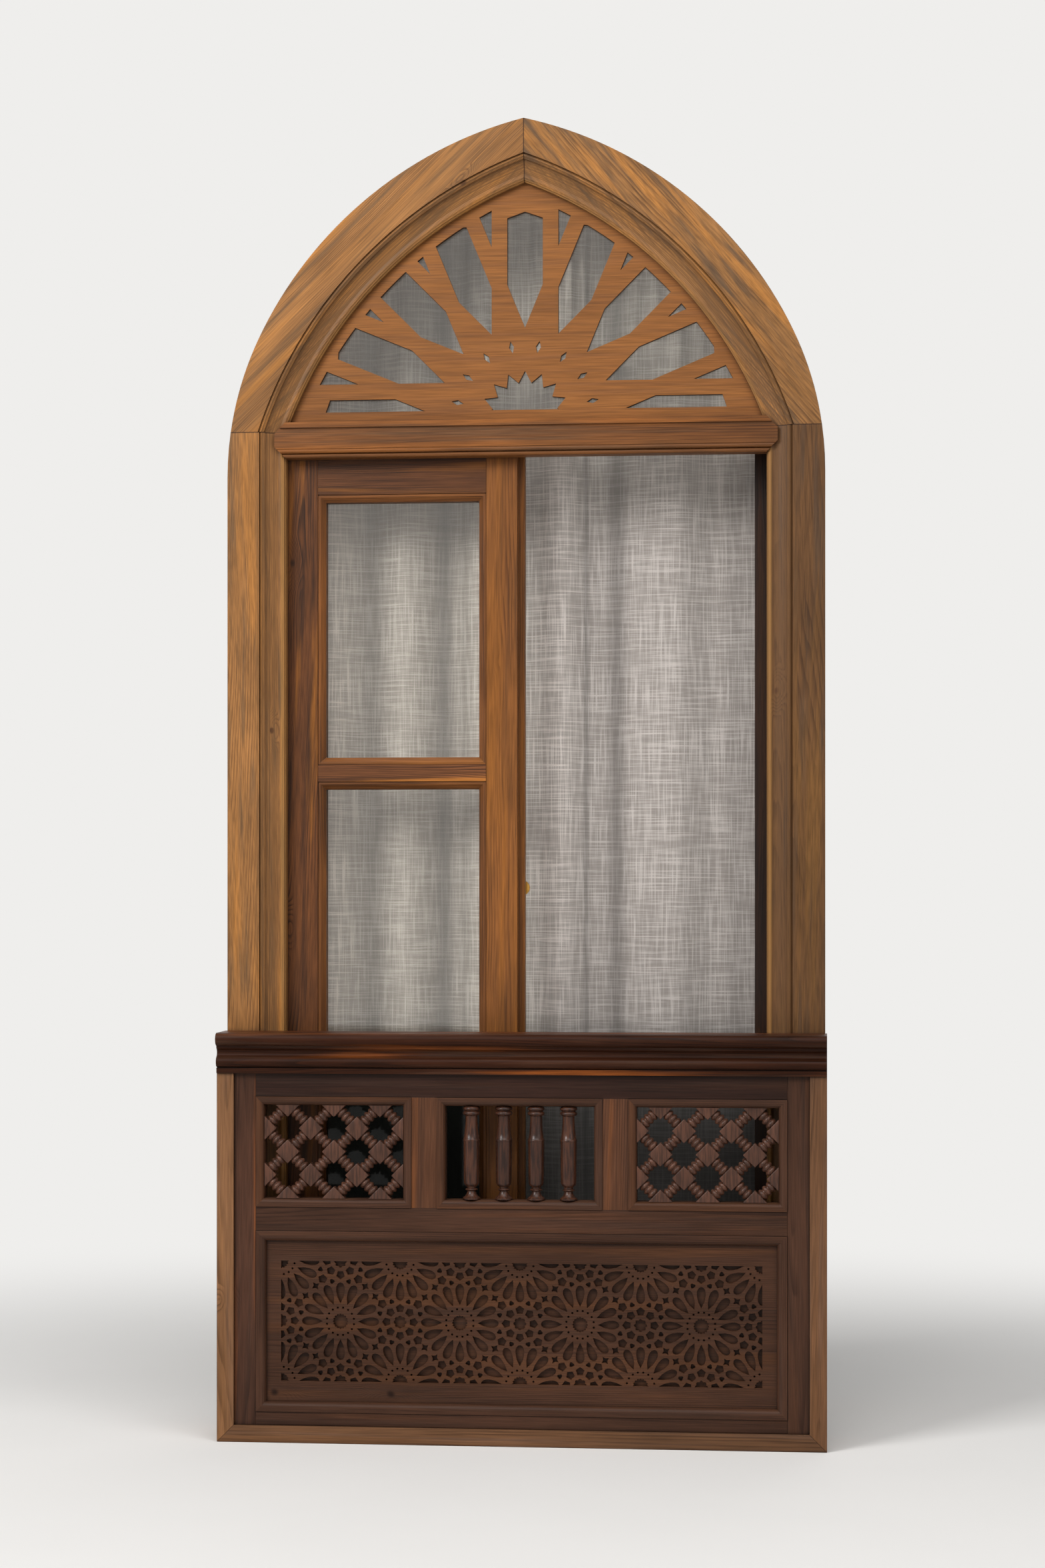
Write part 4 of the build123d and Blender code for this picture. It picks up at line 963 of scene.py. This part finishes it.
fit_piece("turned_balusters", turned, baluster_finish, "balusters", smooth=40)

# %% [markdown]
# ## The knob
#
# A small brass knob turns the catch. It is a lathe piece too: a rose against the stile, a
# narrow neck and a flattened ball.

# %% Turn the knob
low, high = corners_of("knob")
knob_length, rose_r = (high.y - low.y) / MM, (high.x - low.x) / 2 / MM
# The flattened ball, from where it leaves the neck almost to its tip
ball = [
    (0.93 * rose_r * cos(a) ** 0.8 + 0.01, 0.66 * knob_length + 0.34 * knob_length * sin(a))
    for a in [radians(-62 + 152 * n / 14) for n in range(14)]
]
neck_r = 0.42 * rose_r
knob_profile = [(0, 0), (rose_r, 0), (rose_r, 1.2), (0.9 * rose_r, 2.1), (0.5 * rose_r, 2.6),
                (neck_r, 6.0), (neck_r, 0.34 * knob_length)] + ball + [(0, knob_length)]
knob = turn_on_lathe(knob_profile, 40)
into_room = Matrix.Rotation(-pi / 2, 3, "X")
bmesh.ops.rotate(knob, cent=(0, 0, 0), matrix=into_room, verts=knob.verts)
knob_at = ((low.x + high.x) / 2, low.y, (low.z + high.z) / 2)
bmesh.ops.translate(knob, vec=knob_at, verts=knob.verts)
fit_piece("brass_knob", knob, brass, "knob")

# %% [markdown]
# ## The star panel
#
# The pattern is the traditional sixteen-fold star with eight-fold rosettes between. It is
# carved into one board. Each kind of cell is drawn once as a flat outline and pulled into
# a punch, the punches are set out round each star's centre, and all of them together are
# taken out of the board in one cut. Modelling each pocket in the board's own faces would
# give a mesh that is very hard to change.

# %% Punches for the cells
PITCH = 170.0  # from one star's centre to the next
POCKET = 6.0  # how deep the cells are carved


def punch(outline):
    """A punch for a 6 mm pocket from an outline in millimetres, wider at the board's face."""
    # It goes from the pocket's floor to half a millimetre before the face, widens by half a
    # millimetre there for a worn edge, and ends well clear of the board
    shape = bmesh.new()
    top = shape.faces.new([shape.verts.new((x * MM, POCKET * MM, z * MM)) for x, z in outline])
    middle = top.calc_center_median()
    size = max((vert.co - middle).length for vert in top.verts)
    for step, (rise, widen) in enumerate(((POCKET - 0.5, 0), (0.7, 0.5), (POCKET - 0.2, 0))):
        pulled = bmesh.ops.extrude_face_region(shape, geom=[top])
        if step:
            bmesh.ops.delete(shape, geom=[top], context="FACES_ONLY")
        corners = [v for v in pulled["geom"] if isinstance(v, bmesh.types.BMVert)]
        top = next(f for f in pulled["geom"] if isinstance(f, bmesh.types.BMFace))
        bmesh.ops.translate(shape, vec=(0, -rise * MM, 0), verts=corners)
        wider = 1 + widen * MM / size
        spot = Matrix.Translation(-top.calc_center_median())
        bmesh.ops.scale(shape, vec=(wider, 1, wider), space=spot, verts=corners)
    bmesh.ops.recalc_face_normals(shape, faces=shape.faces)
    return shape


def ring_points(count, radius, dent=0.0, waves=1):
    """Points round a circle, dented inwards a given number of times."""
    turns = [2 * pi * n / count for n in range(count)]
    sizes = [radius * (1 - dent * (1 - abs(cos(waves * t / 2)))) for t in turns]
    return [(r * cos(t), r * sin(t)) for t, r in zip(turns, sizes)]


petal_end = [
    (46.0 + 9.0 * cos(radians(a)), 6.2 * sin(radians(a))) for a in (-78, -52, -26, 0, 26, 52, 78)
]
petal = [(25.6, 0), (34.0, -4.2), (42.0, -6.0)] + petal_end + [(42.0, 6.0), (34.0, 4.2)]
print("a petal has", len(petal), "corners")

# %% Set the cells out
def spokes(count, start, reach=0.0):
    """Places round a centre, each turned outwards and moved out by a reach."""
    out = Matrix.Translation((reach * MM, 0, 0))
    return [Matrix.Rotation(-radians(start + 360 * n / count), 4, "Y") @ out for n in range(count)]


ARM, THROAT = 6.0, 2.1  # a cross from its middle to the end of an arm, and to a corner
cross = [(ARM, 0), (THROAT, THROAT), (0, ARM), (-THROAT, THROAT),
         (-ARM, 0), (-THROAT, -THROAT), (0, -ARM), (THROAT, -THROAT)]
trefoil = ring_points(15, 3.6, dent=0.35, waves=3)
star_cells = [
    (ring_points(64, 10.7, dent=0.14, waves=16), [Matrix.Identity(4)]),
    (petal, spokes(16, 0)),
    (ring_points(10, 1.35), spokes(16, 11.25, 19.6)),
]
# Two stars share each cross, so only the stars of the middle row have them
cross_cells = [(cross, spokes(4, 45 - 9.5, 61.0) + spokes(4, 45 + 9.5, 61.0))]
rosette_cells = [
    (ring_points(32, 9.0, dent=0.2, waves=8), [Matrix.Identity(4)]),
    (ring_points(5, 6.2), spokes(8, 0, 19.3)),
    (trefoil, spokes(8, 22.5, 31.0)),
    (ring_points(5, 6.6), spokes(4, 45, 36.0)),
]
half_row = [PITCH * n for n in (-1.5, -0.5, 0.5, 1.5)]
full_row = [PITCH * n for n in (-2, -1, 0, 1, 2)]
edges = (-PITCH / 2, PITCH / 2)
middle_spots = [(x, 0) for x in half_row]
star_spots = middle_spots + [(x, z) for x in full_row for z in edges]
rosette_spots = [(x, 0) for x in full_row] + [(x, z) for x in half_row for z in edges]
print(len(star_spots), "stars and", len(rosette_spots), "rosettes, some of them cut by the edge")

# %% Join the punches
punches = bmesh.new()
motifs = ((star_cells, star_spots), (cross_cells, middle_spots), (rosette_cells, rosette_spots))
for cells, spots in motifs:
    centres = [Matrix.Translation((x * MM, 0, z * MM)) for x, z in spots]
    for outline, turns in cells:
        motif = copies(punch(outline), [centre @ turn for centre in centres for turn in turns])
        mesh = mesh_from(motif, "punches")
        punches.from_mesh(mesh)
        bpy.data.meshes.remove(mesh)
cut_to_opening(punches, 2 * PITCH * MM, 0.5 * PITCH * MM)
print("the punches have", len(punches.faces), "faces")

# %% Carve the board
low, high = corners_of("star_panel")
carving = bmesh.new()
bmesh.ops.create_cube(carving, size=1)
bmesh.ops.scale(carving, vec=high - low, verts=carving.verts)
bmesh.ops.translate(carving, vec=(low + high) / 2, verts=carving.verts)
# Small fields keep the carved faces simple, because one face with 900 holes shades badly
FIELDS = {0: 48, 2: 13}  # along the board's length and its height
for axis, count in FIELDS.items():
    for n in range(1, count):
        spot, normal = low.copy(), Vector()
        spot[axis] += (high - low)[axis] * n / count
        normal[axis] = 1
        geometry = carving.verts[:] + carving.edges[:] + carving.faces[:]
        bmesh.ops.bisect_plane(carving, geom=geometry, plane_co=spot, plane_no=normal)
bmesh.ops.translate(punches, vec=(0, low.y, (low.z + high.z) / 2), verts=punches.verts)
star_timber = stained_pine(
    "stained_pine_star_panel", "walnut", ALONG, (0, -0.03, 0.14),
    [(-0.341, low.y, 0.061, 6), (-0.175, low.y, 0.061, 6)], spring="#4a3022", summer="#301e15",
    flame="#5f3b22", flame_share=0.4, fibre=0.3, dirt=0.5,
)
star_board = fit_piece("carved_star_panel", carving, star_timber, "star_panel")
punch_set = show("punches", mesh_from(punches, "punches"))
cut = star_board.modifiers.new("carve", "BOOLEAN")
cut.operation, cut.solver, cut.object = "DIFFERENCE", "MANIFOLD", punch_set
bpy.context.view_layer.update()
carved = bpy.data.meshes.new_from_object(
    star_board.evaluated_get(bpy.context.evaluated_depsgraph_get())
)
star_board.modifiers.clear()
star_board.data = carved
bpy.data.objects.remove(punch_set)
smooth_faces(carved, 35)
print("the carved board has", len(carved.polygons), "faces")

# %% [markdown]
# ## The linen curtain
#
# The curtain is loosely woven linen, gathered along a rail that is bent to the arch. Its
# threads are uneven: a slub is a thick place in a thread, and it shows as a white dash.
# Simulating the cloth would give the same soft folds each time at a cost of minutes, and
# these folds hang still. So a grid is bent into folds: they are narrow where the cloth is
# gathered at the rail, and they run together and deepen towards the floor.
#
# The solid model has the same main folds. Some shadows and two light bands are set down
# here too, for the linen's colour, and they don't all lie on these folds.

# %% Fold the cloth
low, high = corners_of("curtain")
COLUMNS, ROWS = 300, 150  # of the cloth's grid
HEAD_R = 0.5906 + 0.0177  # the arched opening, and how far the head goes past it
left_x, right_x, foot_z, top_z = low.x, high.x, low.z, high.z
mid_y = (low.y + high.y) / 2


def rail_height(x):
    """Height of the curtain's head under the bent rail, at a place across."""
    return ARCH_Z + sqrt(HEAD_R ** 2 - min(abs(x) + ARCH_X, HEAD_R) ** 2)


# Depth in mm of each ridge or hollow of the main folds, from left to right
FOLDS = [4, -14, 12, -12, 14, -14, 10, -14, 14, -6, -12, 6, -2]

# Drawn shadows, read off the photograph: places across and half widths in metres, and how
# dark they are. The first two lie in hollows of this cloth and the last is 32 mm beyond one.
# The fifth stands 26 mm to the right of its hollow, and the two between are on slopes.
SHADES = [
    (-0.238, 0.015, 0.5), (-0.131, 0.016, 1.0), (-0.103, 0.011, 0.5), (0.080, 0.004, 0.7),
    (0.122, 0.016, 0.85), (0.300, 0.020, 0.4),
]
# Drawn light, given in the same way. Both bands lie on ridges of this cloth
LIGHTS = [(-0.292, 0.024, 1.0), (0.042, 0.028, 0.7)]


def fold_depth(across, drop):
    """How far the cloth stands back, in metres, at a place across and down."""
    place = min(max(across, 0), 1) * (len(FOLDS) - 1)
    first = min(int(place), len(FOLDS) - 2)
    ease = (1 - cos(pi * (place - first))) / 2
    fold = FOLDS[first] + (FOLDS[first + 1] - FOLDS[first]) * ease
    # Small gathers fade below the rail. The cloth is held at its head, and hangs free and
    # sways from 72 mm down
    gathers = sin(2 * pi * (across * 27.0 + 0.7 * sin(across * 11.0)))
    sway = sin(2 * pi * (across * 3.1 + 0.5 * drop))
    sway += sin(2 * pi * (across * 1.3 - 0.7 * drop + 0.3))
    near_rail = max(0.0, 1 - drop / 0.4) ** 1.5
    free = min(1.0, 0.2 + drop / 0.09)
    return MM * (0.92 * fold * free + 2.4 * gathers * (0.12 + near_rail) + 0.8 * sway * free)


NEAR = 0.004  # a step across, as a part of the width, to measure a fold's slope over
cloth = bmesh.new()
bmesh.ops.create_grid(cloth, x_segments=COLUMNS, y_segments=ROWS, size=0.5)
weave = cloth.loops.layers.uv.new("weave")
fold_shade = cloth.verts.layers.float.new("fold_shade")
for face in cloth.faces:
    for corner in face.loops:
        across, up = corner.vert.co.x + 0.5, corner.vert.co.y + 0.5
        head = rail_height(left_x + (right_x - left_x) * across)
        corner[weave].uv = (across, up * (head - foot_z) / (top_z - foot_z))
for vert in cloth.verts:
    across, up = vert.co.x + 0.5, vert.co.y + 0.5
    x = left_x + (right_x - left_x) * across
    head = rail_height(x)
    z = foot_z + (head - foot_z) * up
    slope = fold_depth(across + NEAR, head - z) - fold_depth(across - NEAR, head - z)
    edge = min(1.0, 12 * across, 12 * (1 - across))
    # A light shade lies where a fold is deep, a little to one side of its middle
    depth = fold_depth(across + 0.018, head - z + 0.1) / MM
    steep = slope / (2 * NEAR * (right_x - left_x))
    shadow = max(dark * exp(-((x - spot) / half) ** 2) for spot, half, dark in SHADES)
    light = max(bright * exp(-((x - spot) / half) ** 2) for spot, half, bright in LIGHTS)
    vert[fold_shade] = max(0.3 * min(max((depth - 12 * steep - 6) / 9, 0), 1), shadow) - light
    vert.co = (x - 0.5 * edge * slope, mid_y + fold_depth(across, head - z), z)
print("the cloth has", len(cloth.faces), "faces")

# %% Measure the cloth before it was hung
cloth.verts.ensure_lookup_table()
cloth_area = sum(face.calc_area() for face in cloth.faces)
hem = [e for e in cloth.edges if all(abs(v.co.z - foot_z) < 1e-5 for v in e.verts)]
flat_width = sum(e.calc_length() for e in hem)
flat_length = max(v.co.z for v in cloth.verts) - foot_z
print("cut to", round(flat_width, 3), "by", round(flat_length, 3), "m, area", round(cloth_area, 3))

# %% [markdown]
# The linen is a warm white with a second layer of cloth turned up at its hem. The light
# and shade of the folds are partly drawn in its colour, at places read off the photograph,
# because soft studio light alone leaves folds this shallow too even. Shadow mixes towards a
# dark grey. Light is a gain, so that the threads stay clear in it.
#
# The cloth's foot hangs behind the screen, in deep shade, so it is drawn darker there.

# %% Slubbed linen
RIDGE_GAIN, SHADOW_SHARE = 1.5, 0.7  # the strongest drawn light and shadow
FOOT_SHADE = (500, 580)  # mm of cloth above the hem's fold: all dark below, all clear above
HEM = (29.0, 30.5)  # mm of cloth: the top of the hem, softened over 1.5 mm


def slubbed_linen(name, width, length):
    """Open linen weave. Real threads are 0.6 mm apart, too fine to show, so bundles of them
    are drawn, 2 mm and 5 mm wide and 60 to 90 mm long, both along the cloth and across it."""
    finish, tree, cloth_shader = new_finish(name)
    uv = add(tree, "UVMap", uv_map="weave").outputs[0]
    cut_size = (width / MM, length / MM, 1)
    threads = add(tree, "VectorMath", {0: uv, 1: cut_size}, operation="MULTIPLY").outputs[0]
    height = None
    slubs = None
    for fine, coarse, share in ((0.011, 0.5, 0.75), (0.016, 0.21, 0.4)):
        for stretch in ((fine, coarse, 1), (coarse, fine, 1)):
            run = add(tree, "VectorMath", {0: threads, 1: stretch}, operation="MULTIPLY")
            yarn = add(tree, "TexNoise", {"Vector": run.outputs[0], "Scale": 1.0, "Detail": 2.0})
            thick = add(
                tree, "MapRange", {"Value": yarn.outputs[0], "From Min": 0.46, "From Max": 0.72,
                                   "To Max": share},
                interpolation_type="SMOOTHSTEP",
            )
            slubs = thick if slubs is None else add(
                tree, "Math", {0: slubs.outputs[0], 1: thick.outputs[0]}, operation="ADD"
            )
            height = yarn if height is None else add(
                tree, "Math", {0: height.outputs[0], 1: yarn.outputs[0]}, operation="ADD"
            )
    ground = add(
        tree, "Mix", {0: slubs.outputs[0], 6: stain("#958d87"), 7: stain("#cdc5bf")},
        data_type="RGBA",
    )
    # The attribute is below 0 on drawn light and above 0 in drawn shadow
    shade = add(tree, "Attribute", attribute_name="fold_shade").outputs["Fac"]
    gain = add(
        tree, "MapRange", {"Value": shade, "From Max": -1.0, "To Min": 1.0, "To Max": RIDGE_GAIN}
    )
    ground = add(
        tree, "VectorMath", {0: ground.outputs[2], "Scale": gain.outputs[0]}, operation="SCALE"
    )
    dim = add(tree, "Math", {0: shade, 1: SHADOW_SHARE}, operation="MULTIPLY", use_clamp=True)
    ground = add(
        tree, "Mix", {0: dim.outputs[0], 6: ground.outputs[0], 7: stain("#3d3937")},
        data_type="RGBA",
    )
    up = add(tree, "SeparateXYZ", {0: threads})
    foot = add(
        tree, "MapRange", {"Value": up.outputs[1], "From Min": FOOT_SHADE[0],
                           "From Max": FOOT_SHADE[1], "To Min": 0.84, "To Max": 0.0},
        interpolation_type="SMOOTHSTEP",
    )
    # The room side is in the light, so the foot is less dark there
    behind = add(tree, "NewGeometry").outputs["Backfacing"]
    behind = add(tree, "MapRange", {"Value": behind, "To Min": 1.0, "To Max": 0.3})
    foot = add(tree, "Math", {0: foot.outputs[0], 1: behind.outputs[0]}, operation="MULTIPLY")
    hem = add(
        tree, "MapRange", {"Value": up.outputs[1], "From Min": HEM[0], "From Max": HEM[1],
                           "To Min": 0.55, "To Max": 0.0},
    )
    ground = add(
        tree, "Mix", {0: hem.outputs[0], 6: ground.outputs[2], 7: stain("#b9b2ac")},
        data_type="RGBA",
    )
    ground = add(
        tree, "Mix", {0: foot.outputs[0], 6: ground.outputs[2], 7: stain("#15191a")},
        data_type="RGBA",
    )
    tree.links.new(ground.outputs[2], cloth_shader.inputs["Base Color"])
    cloth_shader.inputs["Roughness"].default_value = 0.95
    cloth_shader.inputs["Specular IOR Level"].default_value = 0.2
    bump = add(tree, "Bump", {"Height": height.outputs[0], "Strength": 0.5, "Distance": 0.4 * MM})
    tree.links.new(bump.outputs[0], cloth_shader.inputs["Normal"])
    glow = add(tree, "BsdfTranslucent", {"Color": stain("#b3aea8"), "Normal": bump.outputs[0]})
    # Light comes through a fifth of the weave, and through less of it at the dark foot
    open_share = add(tree, "Math", {0: foot.outputs[0], 1: -0.2, 2: 0.2}, operation="MULTIPLY_ADD")
    both = add(tree, "MixShader", {0: open_share.outputs[0], 1: cloth_shader.outputs[0],
                                   2: glow.outputs[0]})
    tree.links.new(both.outputs[0], tree.nodes["Material Output"].inputs["Surface"])
    return finish


linen = slubbed_linen("slubbed_linen", flat_width, flat_length)
curtain = fit_piece("linen_curtain", cloth, linen, "curtain", smooth=180)
# An open sheet has no outside of its own, so its faces are turned to the street here
if curtain.data.polygons[0].normal.y > 0:
    curtain.data.flip_normals()

# %% [markdown]
# Small steel rings carry the curtain's head. Each goes round the flat rail and through the
# cloth just under it. A ring is a circle of wire swept round an axis, squeezed to an oval,
# because the rail is a flat bar on its edge.

# %% Hang the curtain on rings
RING_REACH, RING_WIRE, RINGS_A_SIDE = 7.2, 0.9, 9
RINGS_R = 0.6131  # the rings' middles lie on this circle, 1.5 mm inside the rail's own
LAST_TURN = 67  # degrees up the arch to the last ring on each side
wire = bmesh.new()
bmesh.ops.create_circle(wire, segments=8, radius=RING_WIRE * MM)
for axis in "YZ":
    quarter = Matrix.Rotation(pi / 2, 3, axis)
    bmesh.ops.rotate(wire, cent=(0, 0, 0), matrix=quarter, verts=wire.verts)
bmesh.ops.translate(wire, vec=(0, 0, RING_REACH * MM), verts=wire.verts)
bmesh.ops.spin(
    wire, geom=wire.verts[:] + wire.edges[:], cent=(0, 0, 0), axis=(1, 0, 0), angle=2 * pi,
    steps=20, use_merge=True,
)
bmesh.ops.scale(wire, vec=(1, 0.72, 1.25), verts=wire.verts)
rail_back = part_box("curtain_rail")[1][1]
ring_places = []
for side, first in ((-1, 26), (1, 31)):
    for n in range(RINGS_A_SIDE):
        turn = radians(first + (LAST_TURN - first) * n / (RINGS_A_SIDE - 1))
        x, z = side * (RINGS_R * cos(turn) - ARCH_X), ARCH_Z + RINGS_R * sin(turn)
        spot = (x, rail_back - 2.5 * MM, z)
        lean = Matrix.Rotation(side * (pi / 2 - turn), 4, "Y")
        ring_places.append(Matrix.Translation(spot) @ lean)
rings = copies(wire, ring_places)
bmesh.ops.remove_doubles(rings, verts=rings.verts, dist=TOUCHING)
bmesh.ops.recalc_face_normals(rings, faces=rings.faces)
ring_mesh = mesh_from(rings, "curtain_rings")
ring_mesh.shade_smooth()
ring_mesh.materials.append(hinge_metal)
curtain_rings = show("curtain_rings", ring_mesh)
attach(curtain_rings, "root")
print("the curtain hangs on", len(ring_places), "rings")

# %% [markdown]
# ## Floor, light and camera
#
# A plain pale floor and four soft lamps show the wood without strong shadows. The key light
# is a wide panel high on the left, and a larger one overhead stands for the sky. A weak one
# on the right fills the shadows, and the last lights the room side, so that a little light
# comes through the linen. The floor fades into the backdrop with distance, so that no edge
# shows, and mirrors and glass see the same backdrop as the camera.

# %% What sees the backdrop itself
def sees_backdrop(tree):
    """1 for rays from the camera, a mirror or glass, and 0 for those that light things."""
    path = add(tree, "LightPath")
    seen = add(tree, "Math", {0: path.outputs["Is Camera Ray"], 1: path.outputs["Is Glossy Ray"]},
               operation="MAXIMUM")
    return add(tree, "Math", {0: seen.outputs[0], 1: path.outputs["Is Transmission Ray"]},
               operation="MAXIMUM").outputs[0]


# %% The floor
FLOOR_REACH = 30  # metres from its middle to its edge
floor_shape = bmesh.new()
bmesh.ops.create_grid(floor_shape, x_segments=1, y_segments=1, size=FLOOR_REACH)
floor = show("studio_floor", mesh_from(floor_shape, "studio_floor"))
paper, tree, sheet = new_finish("pale_floor_paper")
mottle = add(tree, "TexNoise", {"Vector": add(tree, "TexCoord").outputs["Object"], "Scale": 3.0})
pale = add(
    tree, "Mix", {0: mottle.outputs[0], 6: stain("#eceae7"), 7: stain("#f1efec")}, data_type="RGBA"
)
tree.links.new(pale.outputs[2], sheet.inputs["Base Color"])
sheet.inputs["Roughness"].default_value = 0.9
far = add(tree, "VectorMath", {0: add(tree, "TexCoord").outputs["Object"]}, operation="LENGTH")
far = add(
    tree, "MapRange", {"Value": far.outputs["Value"], "From Min": 0.55, "From Max": 2.6},
    interpolation_type="SMOOTHERSTEP",
)
fade = add(tree, "Math", {0: far.outputs[0], 1: sees_backdrop(tree)}, operation="MULTIPLY")
backdrop = add(tree, "Emission", {"Color": stain("#efeeec"), "Strength": 1.0})
both = add(tree, "MixShader", {0: fade.outputs[0], 1: sheet.outputs[0], 2: backdrop.outputs[0]})
tree.links.new(both.outputs[0], tree.nodes["Material Output"].inputs["Surface"])
floor.data.materials.append(paper)
print("the floor is", 2 * FLOOR_REACH, "m wide")

# %% The room's light
room = bpy.data.worlds.new("studio")
bpy.context.scene.world = room
room.use_nodes = True
tree = room.node_tree
around = add(tree, "Background", {"Color": stain("#e6e8ea"), "Strength": 0.16})
backdrop = add(tree, "Background", {"Color": stain("#efeeec"), "Strength": 1.0})
both = add(
    tree, "MixShader", {0: sees_backdrop(tree), 1: around.outputs[0], 2: backdrop.outputs[0]}
)
tree.links.new(both.outputs[0], tree.nodes["World Output"].inputs["Surface"])
print("the room's own light has strength", round(around.inputs["Strength"].default_value, 2))

# %% The lamps
AIM = Vector((0, 0, 0.9))  # near the middle of the window


def lamp(name, spot, size, power):
    """A soft panel of light, turned to the window. Its size is in metres, its power in watts."""
    panel = bpy.data.lights.new(name, "AREA")
    panel.shape, panel.size, panel.energy = "SQUARE", size, power
    made = show(name, panel)
    made.location = spot
    made.rotation_euler = (AIM - Vector(spot)).to_track_quat("-Z", "Y").to_euler()


lamp("key_light", (-3.2, -4.0, 3.8), 2.2, 230)
lamp("sky_light", (0.8, -2.8, 5.0), 4.0, 150)
lamp("fill_light", (3.8, -3.8, 2.4), 3.0, 30)
lamp("room_light", (1.0, 4.0, 3.4), 3.0, 22)
print("four lamps, all turned to", AIM)

# %% [markdown]
# The camera stands where the photograph was taken from: 4.35 m in front, 0.43 m to the
# right and at the height of a seated viewer. It is level, so the uprights stay upright, and
# a small shift brings the arch into the picture.

# %% The camera
eye = bpy.data.cameras.new("photo_camera")
camera = show("photo_camera", eye)
camera.location = (0.428, -4.351, 0.789)
camera.rotation_euler = (radians(90), 0, radians(5.68))
eye.lens, eye.sensor_width = 70, 36
eye.shift_y = 0.064
bpy.context.scene.camera = camera
bpy.context.scene.view_settings.view_transform = "Standard"
print("the camera stands", round(camera.location.length, 2), "m away")

# %% Update the scene and finish
bpy.context.view_layer.update()
